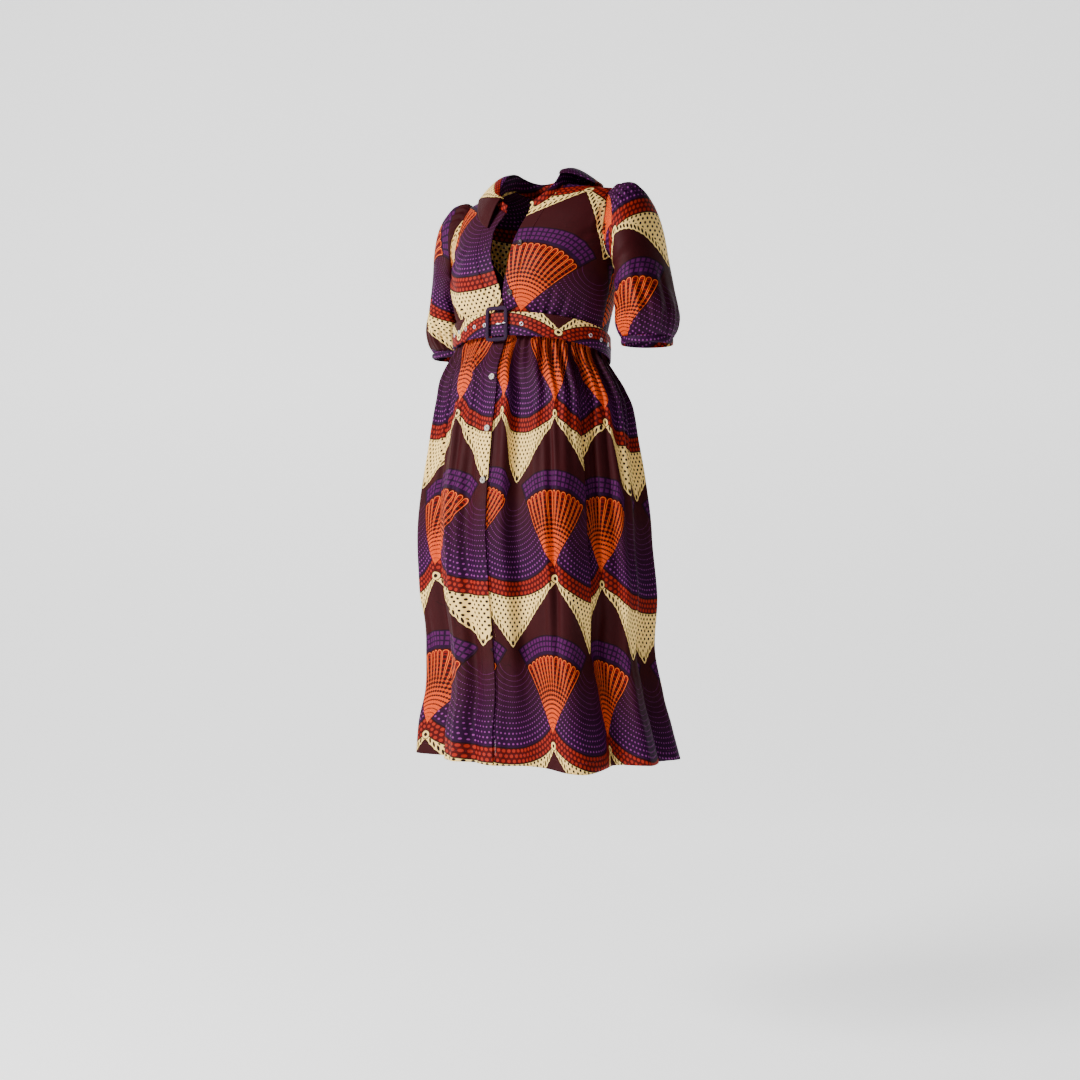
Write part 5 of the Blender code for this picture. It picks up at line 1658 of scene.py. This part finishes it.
def eyelets(turn, length):
    """Metal eyelets along the belt: rolled flanges, evenly spaced, each with a near-black disc sunk in its
    hole as painted shade for the hole's shadowed depth.
    """
    spacing = bpy.context.scene.dress_sizes.eyelet_spacing
    at = np.interp(np.arange(0.030, length[-1] - 0.012, spacing), length, turn)
    covered = np.abs(at + 2 * math.pi) < UNDER_BUCKLE
    hidden = at > -TONGUE_REACH - 0.02
    plain = (at > PLAIN_BELT[0]) & (at < PLAIN_BELT[1])
    at = at[~covered & ~hidden & ~plain]
    centre, facing = belt_frame(at, np.zeros(len(at)), np.full(len(at), BELT_THICK))
    along = unit(np.cross(facing, np.array((0.0, 0.0, 1.0))))
    upward = np.cross(along, facing)
    sides = 36
    around = 2 * math.pi * np.arange(sides)[:, None] / sides
    rays = np.cos(around) * along[:, None] + np.sin(around) * upward[:, None]
    rim = np.array(((0.0019, -0.0009), (0.0020, 0.0003), (0.0024, 0.0008), (0.0030, 0.0009),
                    (0.0035, 0.0007), (0.0039, 0.0001), (0.0039, -0.0006), (0.0028, -0.0008)))
    # Near-black disc inside each eyelet's hole: painted shade for the shadowed depth of the hole
    hole_shade_disc = np.array(((0.0, -0.0004), (0.0019, -0.0002), (0.0019, -0.0009), (0.0, -0.0009)))[:, None]
    centre, facing = centre[:, None, None], facing[:, None, None]
    tone = tuple(bpy.context.scene.dress_colours.steel)
    steel = surface_material("eyelet_metal", tone, 0.32, metallic=1.0, scale=900.0, contrast=0.15)
    # The discs' near-black finish is painted shade, not the colour of the metal or the cloth
    dark = surface_material("eyelet_well", (0.012, 0.009, 0.012), 0.8, scale=600.0)
    for name, points, faces, material, slot in (
        ("belt_eyelets", centre + rim[:, :1] * rays[:, :, None] + rim[:, 1:] * facing,
         grid_faces(sides, len(rim), closed=True), steel, "steel"),
        ("belt_eyelet_wells", centre + hole_shade_disc[..., :1] * rays[:, None] + hole_shade_disc[..., 1:] * facing,
         grid_faces(len(hole_shade_disc), sides), dark, "printed_belt"),
    ):
        every = faces + points[0].size // 3 * np.arange(len(at))[:, None, None]
        mesh = mesh_from(name, points.reshape(-1, 3), every.reshape(-1, 4))
        weld(mesh)
        place_piece(name, mesh, material, slot)


def bodice_seams():
    """Rows of stitching on the bands and beside the armholes, front and back."""
    lines = []
    for side in (1, -1):
        surface = bodice_surface(side)
        rows = np.linspace(0.060, 0.274, 260)
        for inset in (STITCH_INSET, BAND - STITCH_INSET):
            x = edge_x(side, rows) + side * inset
            points, facing = facing_out(surface, body_angle(x, rows), rows)
            if side > 0:
                points = sunk(points, facing, rows)
            lines.append((apart(points, False), facing))
        rows = np.linspace(0.010, UNDERARM - 0.004, 160)
        angle = side * (np.radians(smooth(ARMHOLE, "front_angle", rows)) - 0.026)
        points, facing = facing_out(surface, angle, rows)
        lines.append((apart(points, False), facing))
        angle = math.pi - side * (math.pi - np.radians(180 - smooth(ARMHOLE, "back_angle", rows)) - 0.026)
        points, facing = facing_out(bodice_surface(0), angle, rows)
        lines.append((apart(points, True), facing))
    return lines


def skirt_seams():
    """Rows of stitching on the closing bands and round the hem."""
    lines = []
    falls = np.linspace(0.004, SKIRT_FALL - 0.003, 700)
    for off in (CLOSING - STITCH_INSET, CLOSING - BAND + STITCH_INSET):
        lines.append(facing_out(skirt_surface, skirt_angle(off, falls), falls))
    angle = np.linspace(-math.pi / 2 + 0.01, math.pi / 2 - 0.01, 900)
    fall = np.full_like(angle, SKIRT_FALL - HEM_FOLD)
    points, facing = facing_out(skirt_surface, angle, fall)
    off_centre = points[:, 0] - smooth(SKIRT, "centre_x", fall)
    under = off_centre > CLOSING + 0.001
    sink = np.where(under, lap_sink(off_centre - CLOSING), 0.0)
    points = apart(points - sink[:, None] * facing, False)
    lines.append((points[~under], facing[~under]))
    lines.append((points[under], facing[under]))
    angle = np.linspace(math.pi / 2 + 0.01, 3 * math.pi / 2 - 0.01, 1200)
    points, facing = facing_out(skirt_surface, angle, np.full_like(angle, SKIRT_FALL - HEM_FOLD))
    lines.append((apart(points, True), facing))
    return lines


def cuff_seams():
    """Two rows of stitching round each cuff."""
    turn = np.linspace(0, 2 * math.pi, 320)
    return [cuff_ring(side, turn, STITCH_LIFT, height) for side in (1, -1)
            for height in (CUFF_TOP - STITCH_INSET, CUFF_TOP - CUFF_HEIGHT + STITCH_INSET)]


def collar_seams():
    """A row of stitching inside the leaf's outer edge."""
    outer, normal, _, _, length = leaf_grid(60, 190)
    near = np.clip(np.searchsorted(np.linspace(0, 1, 60), 1 - 0.0052 / length), 0, 59)
    columns = np.arange(4, 186)
    facing = normal[near[columns], columns]
    return [(outer[near[columns], columns] + 0.0001 * facing, facing)]


def buttonholes():
    """Bound slits of close stitches where the buttons go through."""
    lines = []

    def stitch(centre, facing, half):
        lines.append((np.stack((centre - half, centre + half)), np.stack((facing, facing))))

    for drop in np.array(BODICE_BUTTON_DROPS):
        angle = body_angle(edge_x(-1, drop) - 0.014, drop)
        point, facing = facing_out(bodice_surface(-1), angle, drop)
        way = local_axes(facing)[1]
        side = np.cross(facing, way)
        middle = apart(point, False) + 0.0002 * facing
        for k in np.linspace(-0.0075, 0.0075, 30):
            for edge in (-1, 1):
                stitch(middle + k * way + edge * 0.0009 * side, facing, 0.0007 * side)
        for end in (-1, 1):
            for k in np.linspace(-0.0014, 0.0014, 5):
                stitch(middle + end * 0.0080 * way + k * side, facing, 0.0006 * way)
    return lines


PRINT_TONES = ("orange", "peach", "red", "maroon", "violet", "violet_ground", "plum", "purple",
               "lilac", "brick", "rust", "cream", "dark")


def tone(name, description, default):
    """A colour setting."""
    return bpy.props.FloatVectorProperty(name=name, description=description, default=default,
                                         subtype="COLOR", size=3, min=0.0, max=1.0)


def length(name, description, default, low=0.0, high=1.0):
    """A length setting in metres."""
    return bpy.props.FloatProperty(name=name, description=description, default=default, min=low, max=high,
                                   unit="LENGTH", precision=5)


def power(name, description, default):
    """A lamp's power setting in watts."""
    return bpy.props.FloatProperty(name=name, description=description, default=default, min=0.0, max=2000.0,
                                   unit="POWER")


class DressColours(bpy.types.PropertyGroup):
    """Dye, thread, button and metal colours"""

    orange: tone("Fan orange", "Inside of the ribs towards the fan's foot", srgb(222, 66, 16))
    peach: tone("Fan peach", "Pale border of each rib", srgb(250, 104, 34))
    red: tone("Fan red", "Inside of the ribs towards their ends", srgb(122, 16, 6))
    maroon: tone("Fan maroon", "Lines between ribs and dots on them", srgb(44, 1, 1))
    violet: tone("Violet", "Squares of the band over the fan", srgb(78, 16, 74))
    violet_ground: tone("Violet ground", "Ground of that band", srgb(34, 3, 36))
    plum: tone("Plum", "Ground of the cloth", srgb(50, 8, 12))
    purple: tone("Purple", "Ground towards the scallop's foot", srgb(38, 1, 40))
    lilac: tone("Lilac", "Dots in the scallop", srgb(124, 50, 120))
    brick: tone("Brick", "Band round the scallop", srgb(72, 4, 3))
    rust: tone("Rust", "Dots on the brick band", srgb(150, 34, 20))
    cream: tone("Cream", "The pale V between scallops", srgb(255, 214, 128))
    dark: tone("Outline", "Dark outlines and dots on the cream", srgb(26, 5, 4))
    thread: tone("Thread", "Sewing thread", srgb(92, 46, 66))
    buckle: tone("Buckle cloth", "Dark cloth over the buckle and the cuff's button", srgb(20, 12, 28))
    steel: tone("Steel", "Prong and eyelets", srgb(200, 200, 205))
    dark_button: tone("Dark buttons", "Buttons on the bodice", srgb(48, 26, 26))
    pearl_button: tone("Pearl buttons", "Buttons on the skirt", srgb(176, 166, 156))
    floor: tone("Floor", "Plain floor and backdrop", srgb(240, 240, 240))


class DressSizes(bpy.types.PropertyGroup):
    """Sizes of the cloth's finish, its sewing and the stage"""

    thread: length("Weave pitch", "Distance from thread to thread", 0.0007, 0.0003, 0.003)
    stitch: length("Stitch length", "Length of one stitch", 0.0022, 0.001, 0.006)
    stitch_gap: length("Stitch gap", "Gap between stitches", 0.0010, 0.0003, 0.004)
    thread_radius: length("Thread radius", "Half the sewing thread's thickness", 0.00024, 0.0001, 0.001)
    eyelet_spacing: length("Eyelet spacing", "Distance between the belt's eyelets", 0.026, 0.012, 0.1)
    floor_height: length("Floor height", "Height of the floor below the shoulder point", -1.60, -3.0, -1.1)
    key_power: power("Key light", "Power of the large light at the left", 210.0)
    fill_power: power("Fill light", "Power of the light at the right", 3.0)


class DRESS_OT_bodice(bpy.types.Operator):
    """Build the bodice's fronts, bands and back"""

    bl_idname = "dress.bodice"
    bl_label = "Bodice"

    def execute(self, context):
        for side in (1, -1):
            bodice_front_piece(side)
            bodice_band_piece(side)
        bodice_back_piece()
        stitches("bodice_stitching", bodice_seams())
        dashes("buttonhole_stitching", buttonholes(), 0.0014, 0.0, 0.00022)
        return {"FINISHED"}


class DRESS_OT_collar(bpy.types.Operator):
    """Build the collar's stand and leaf"""

    bl_idname = "dress.collar"
    bl_label = "Collar"

    def execute(self, context):
        collar_stand_piece()
        collar_leaf_piece()
        stitches("collar_stitching", collar_seams())
        return {"FINISHED"}


class DRESS_OT_sleeves(bpy.types.Operator):
    """Build the gathered sleeves and their cuffs"""

    bl_idname = "dress.sleeves"
    bl_label = "Sleeves"

    def execute(self, context):
        for side in (1, -1):
            sleeve_piece(side)
            cuff_piece(side)
        stitches("cuff_stitching", cuff_seams())
        return {"FINISHED"}


class DRESS_OT_skirt(bpy.types.Operator):
    """Build the skirt's fronts, closing bands and back"""

    bl_idname = "dress.skirt"
    bl_label = "Skirt"

    def execute(self, context):
        seam = CLOSING - BAND
        skirt_piece("skirt_front_right", turned_to(-math.pi / 2), line_of(seam - SEAM), 170, "right")
        skirt_piece("skirt_buttonhole_band", line_of(seam), line_of(CLOSING), 17, "right", flat=(BAND, 0.76))
        skirt_piece("skirt_button_band", line_of(-CLOSING), line_of(-seam), 17, "left", under=True,
                    flat=(BAND, 0.76))
        skirt_piece("skirt_front_left", line_of(-seam + SEAM), turned_to(math.pi / 2), 170, "left",
                    under=True)
        ends = turned_to(math.pi / 2 - SIDE_TUCK), turned_to(3 * math.pi / 2 + SIDE_TUCK)
        skirt_piece("skirt_back", *ends, 264, "back", back=True, flat=(0.93, 0.77))
        stitches("skirt_stitching", skirt_seams())
        return {"FINISHED"}


class DRESS_OT_buttons(bpy.types.Operator):
    """Build the buttons of the bodice, skirt and cuff with their thread"""

    bl_idname = "dress.buttons"
    bl_label = "Buttons"

    def execute(self, context):
        colours = context.scene.dress_colours
        dark = surface_material("dark_resin", tuple(colours.dark_button), 0.32, scale=700.0, relief=0.1,
                                coat=0.3)
        pearl = surface_material("pearl_shell", tuple(colours.pearl_button), 0.22, scale=240.0, relief=0.08,
                                 contrast=0.16, coat=0.5)
        for number, drop in enumerate(BODICE_BUTTON_DROPS, start=1):
            point, facing = body_facing(body_angle(edge_x(1, drop) + BODICE_BUTTON_INSET, drop), drop)
            button(f"bodice_button_{number}", "_resin", point + facing * SEAM, facing, dark, "dark_button")
        for number, fall in enumerate(SKIRT_BUTTON_FALLS, start=1):
            point, facing = facing_out(skirt, skirt_angle(BUTTON_LINE, fall), fall)
            place = point + facing * (2 * SEAM)
            button(f"skirt_button_{number}", "_shell", place, facing, pearl, "pearl_button")
        cuff_button_piece()
        return {"FINISHED"}


class DRESS_OT_belt(bpy.types.Operator):
    """Build the belt with its eyelets, covered buckle and prong"""

    bl_idname = "dress.belt"
    bl_label = "Belt"

    def execute(self, context):
        eyelets(*belt_piece())
        buckle_pieces()
        return {"FINISHED"}


class DRESS_OT_stage(bpy.types.Operator):
    """Build the plain backdrop, the lights and the camera"""

    bl_idname = "dress.stage"
    bl_label = "Stage"

    def execute(self, context):
        backdrop()
        lights()
        camera()
        return {"FINISHED"}


OPERATORS = (DRESS_OT_bodice, DRESS_OT_collar, DRESS_OT_sleeves, DRESS_OT_skirt,
             DRESS_OT_buttons, DRESS_OT_belt, DRESS_OT_stage)


class DRESS_PT_panel(bpy.types.Panel):
    """The dress's pieces and settings in the sidebar"""

    bl_idname = "DRESS_PT_panel"
    bl_label = "Wax Print Shirt Dress"
    bl_space_type = "VIEW_3D"
    bl_region_type = "UI"
    bl_category = "Dress"

    def draw(self, context):
        for operator in OPERATORS:
            self.layout.operator(operator.bl_idname)
        for group in (context.scene.dress_sizes, context.scene.dress_colours):
            column = self.layout.column()
            for key in group.__annotations__:
                column.prop(group, key)


def stage_material(name, colour):
    """A plain matt finish with a faint unevenness."""
    material, tree, shader = principled(name)
    place = tree.nodes.new("ShaderNodeTexCoord").outputs["Object"]
    shade = shaded(tree, shader, colour, noise(tree, place, 1.5) * 0.02 + 0.99)
    shader.inputs["Roughness"].default_value = 0.9
    tree.links.new(shade, shader.inputs["Emission Color"])
    shader.inputs["Emission Strength"].default_value = BACKDROP_GLOW
    return material


def backdrop():
    """A floor that sweeps up into a wall behind the dress, square to the camera."""
    floor = bpy.context.scene.dress_sizes.floor_height
    curve = np.radians(np.linspace(0, 90, 25))
    away = np.concatenate(((-5.0,), 2.2 + 1.6 * np.sin(curve), (3.8,)))
    height = np.concatenate(((0.0,), 1.6 * (1 - np.cos(curve)), (5.0,))) + floor
    side = np.array((-7.0, 7.0))
    ahead = np.array((-math.sin(VIEW_TURN), math.cos(VIEW_TURN), 0.0))
    across = np.array((math.cos(VIEW_TURN), math.sin(VIEW_TURN), 0.0))
    points = (away[:, None, None] * ahead + side[None, :, None] * across
              + height[:, None, None] * np.array((0.0, 0.0, 1.0)))
    faces = grid_faces(len(away), 2, ring=False)[:, ::-1]
    mesh = mesh_from("floor", points.reshape(-1, 3), faces)
    mesh.polygons.foreach_set("use_smooth", np.ones(len(faces), dtype=bool))
    mesh.materials.append(stage_material("plain_floor", tuple(bpy.context.scene.dress_colours.floor)))
    piece = bpy.data.objects.new("floor", mesh)
    bpy.context.scene.collection.objects.link(piece)


def aimed(thing, place, target):
    """Put an object at a place and turn it to look at a target."""
    thing.location = place
    thing.rotation_euler = (Vector(target) - Vector(place)).to_track_quat("-Z", "Y").to_euler()
    bpy.context.scene.collection.objects.link(thing)
    return thing


def view_place(across, away, height):
    """A place by distances to the camera's right, away from it past the dress, and up."""
    return (across * math.cos(VIEW_TURN) - away * math.sin(VIEW_TURN),
            across * math.sin(VIEW_TURN) + away * math.cos(VIEW_TURN), height)


def lights():
    """A broad key light at the camera's left, a weaker fill at its right, and a pale world."""
    sizes = bpy.context.scene.dress_sizes
    for name, place, size, power in (
        ("key_light", view_place(-2.6, -1.5, 0.9), 1.2, sizes.key_power),
        ("fill_light", view_place(2.4, -1.6, 0.1), 2.2, sizes.fill_power),
    ):
        lamp = bpy.data.lights.new(name, "AREA")
        lamp.size = size
        lamp.energy = power
        aimed(bpy.data.objects.new(name, lamp), place, (0.0, 0.0, -0.55))
    world = bpy.data.worlds.get("pale_world") or bpy.data.worlds.new("pale_world")
    world.use_nodes = True
    ground = world.node_tree.nodes.get("Background") or world.node_tree.nodes.new("ShaderNodeBackground")
    ground.inputs["Color"].default_value = (1.0, 1.0, 1.0, 1.0)
    ground.inputs["Strength"].default_value = WORLD_STRENGTH
    bpy.context.scene.world = world


def camera():
    """The camera at the photograph's own angle, level and square to the dress."""
    lens = bpy.data.cameras.new("photo_camera")
    lens.lens = LENS
    lens.sensor_width = 36.0
    place = view_place(0.0, -VIEW_AWAY, VIEW_HEIGHT)
    thing = aimed(bpy.data.objects.new("photo_camera", lens), place, (0.0, 0.0, VIEW_HEIGHT))
    bpy.context.scene.camera = thing


CLASSES = (DressColours, DressSizes, *OPERATORS, DRESS_PT_panel)


def register():
    """Register the settings, operators and panel."""
    for item in CLASSES:
        bpy.utils.register_class(item)
    bpy.types.Scene.dress_colours = bpy.props.PointerProperty(type=DressColours)
    bpy.types.Scene.dress_sizes = bpy.props.PointerProperty(type=DressSizes)


def unregister():
    """Take them away again."""
    del bpy.types.Scene.dress_sizes
    del bpy.types.Scene.dress_colours
    for item in reversed(CLASSES):
        bpy.utils.unregister_class(item)


def main():
    """Build every piece in order."""
    register()
    bpy.ops.dress.bodice()
    bpy.ops.dress.collar()
    bpy.ops.dress.sleeves()
    bpy.ops.dress.skirt()
    bpy.ops.dress.buttons()
    bpy.ops.dress.belt()
    bpy.ops.dress.stage()


if __name__ == "__main__":
    main()
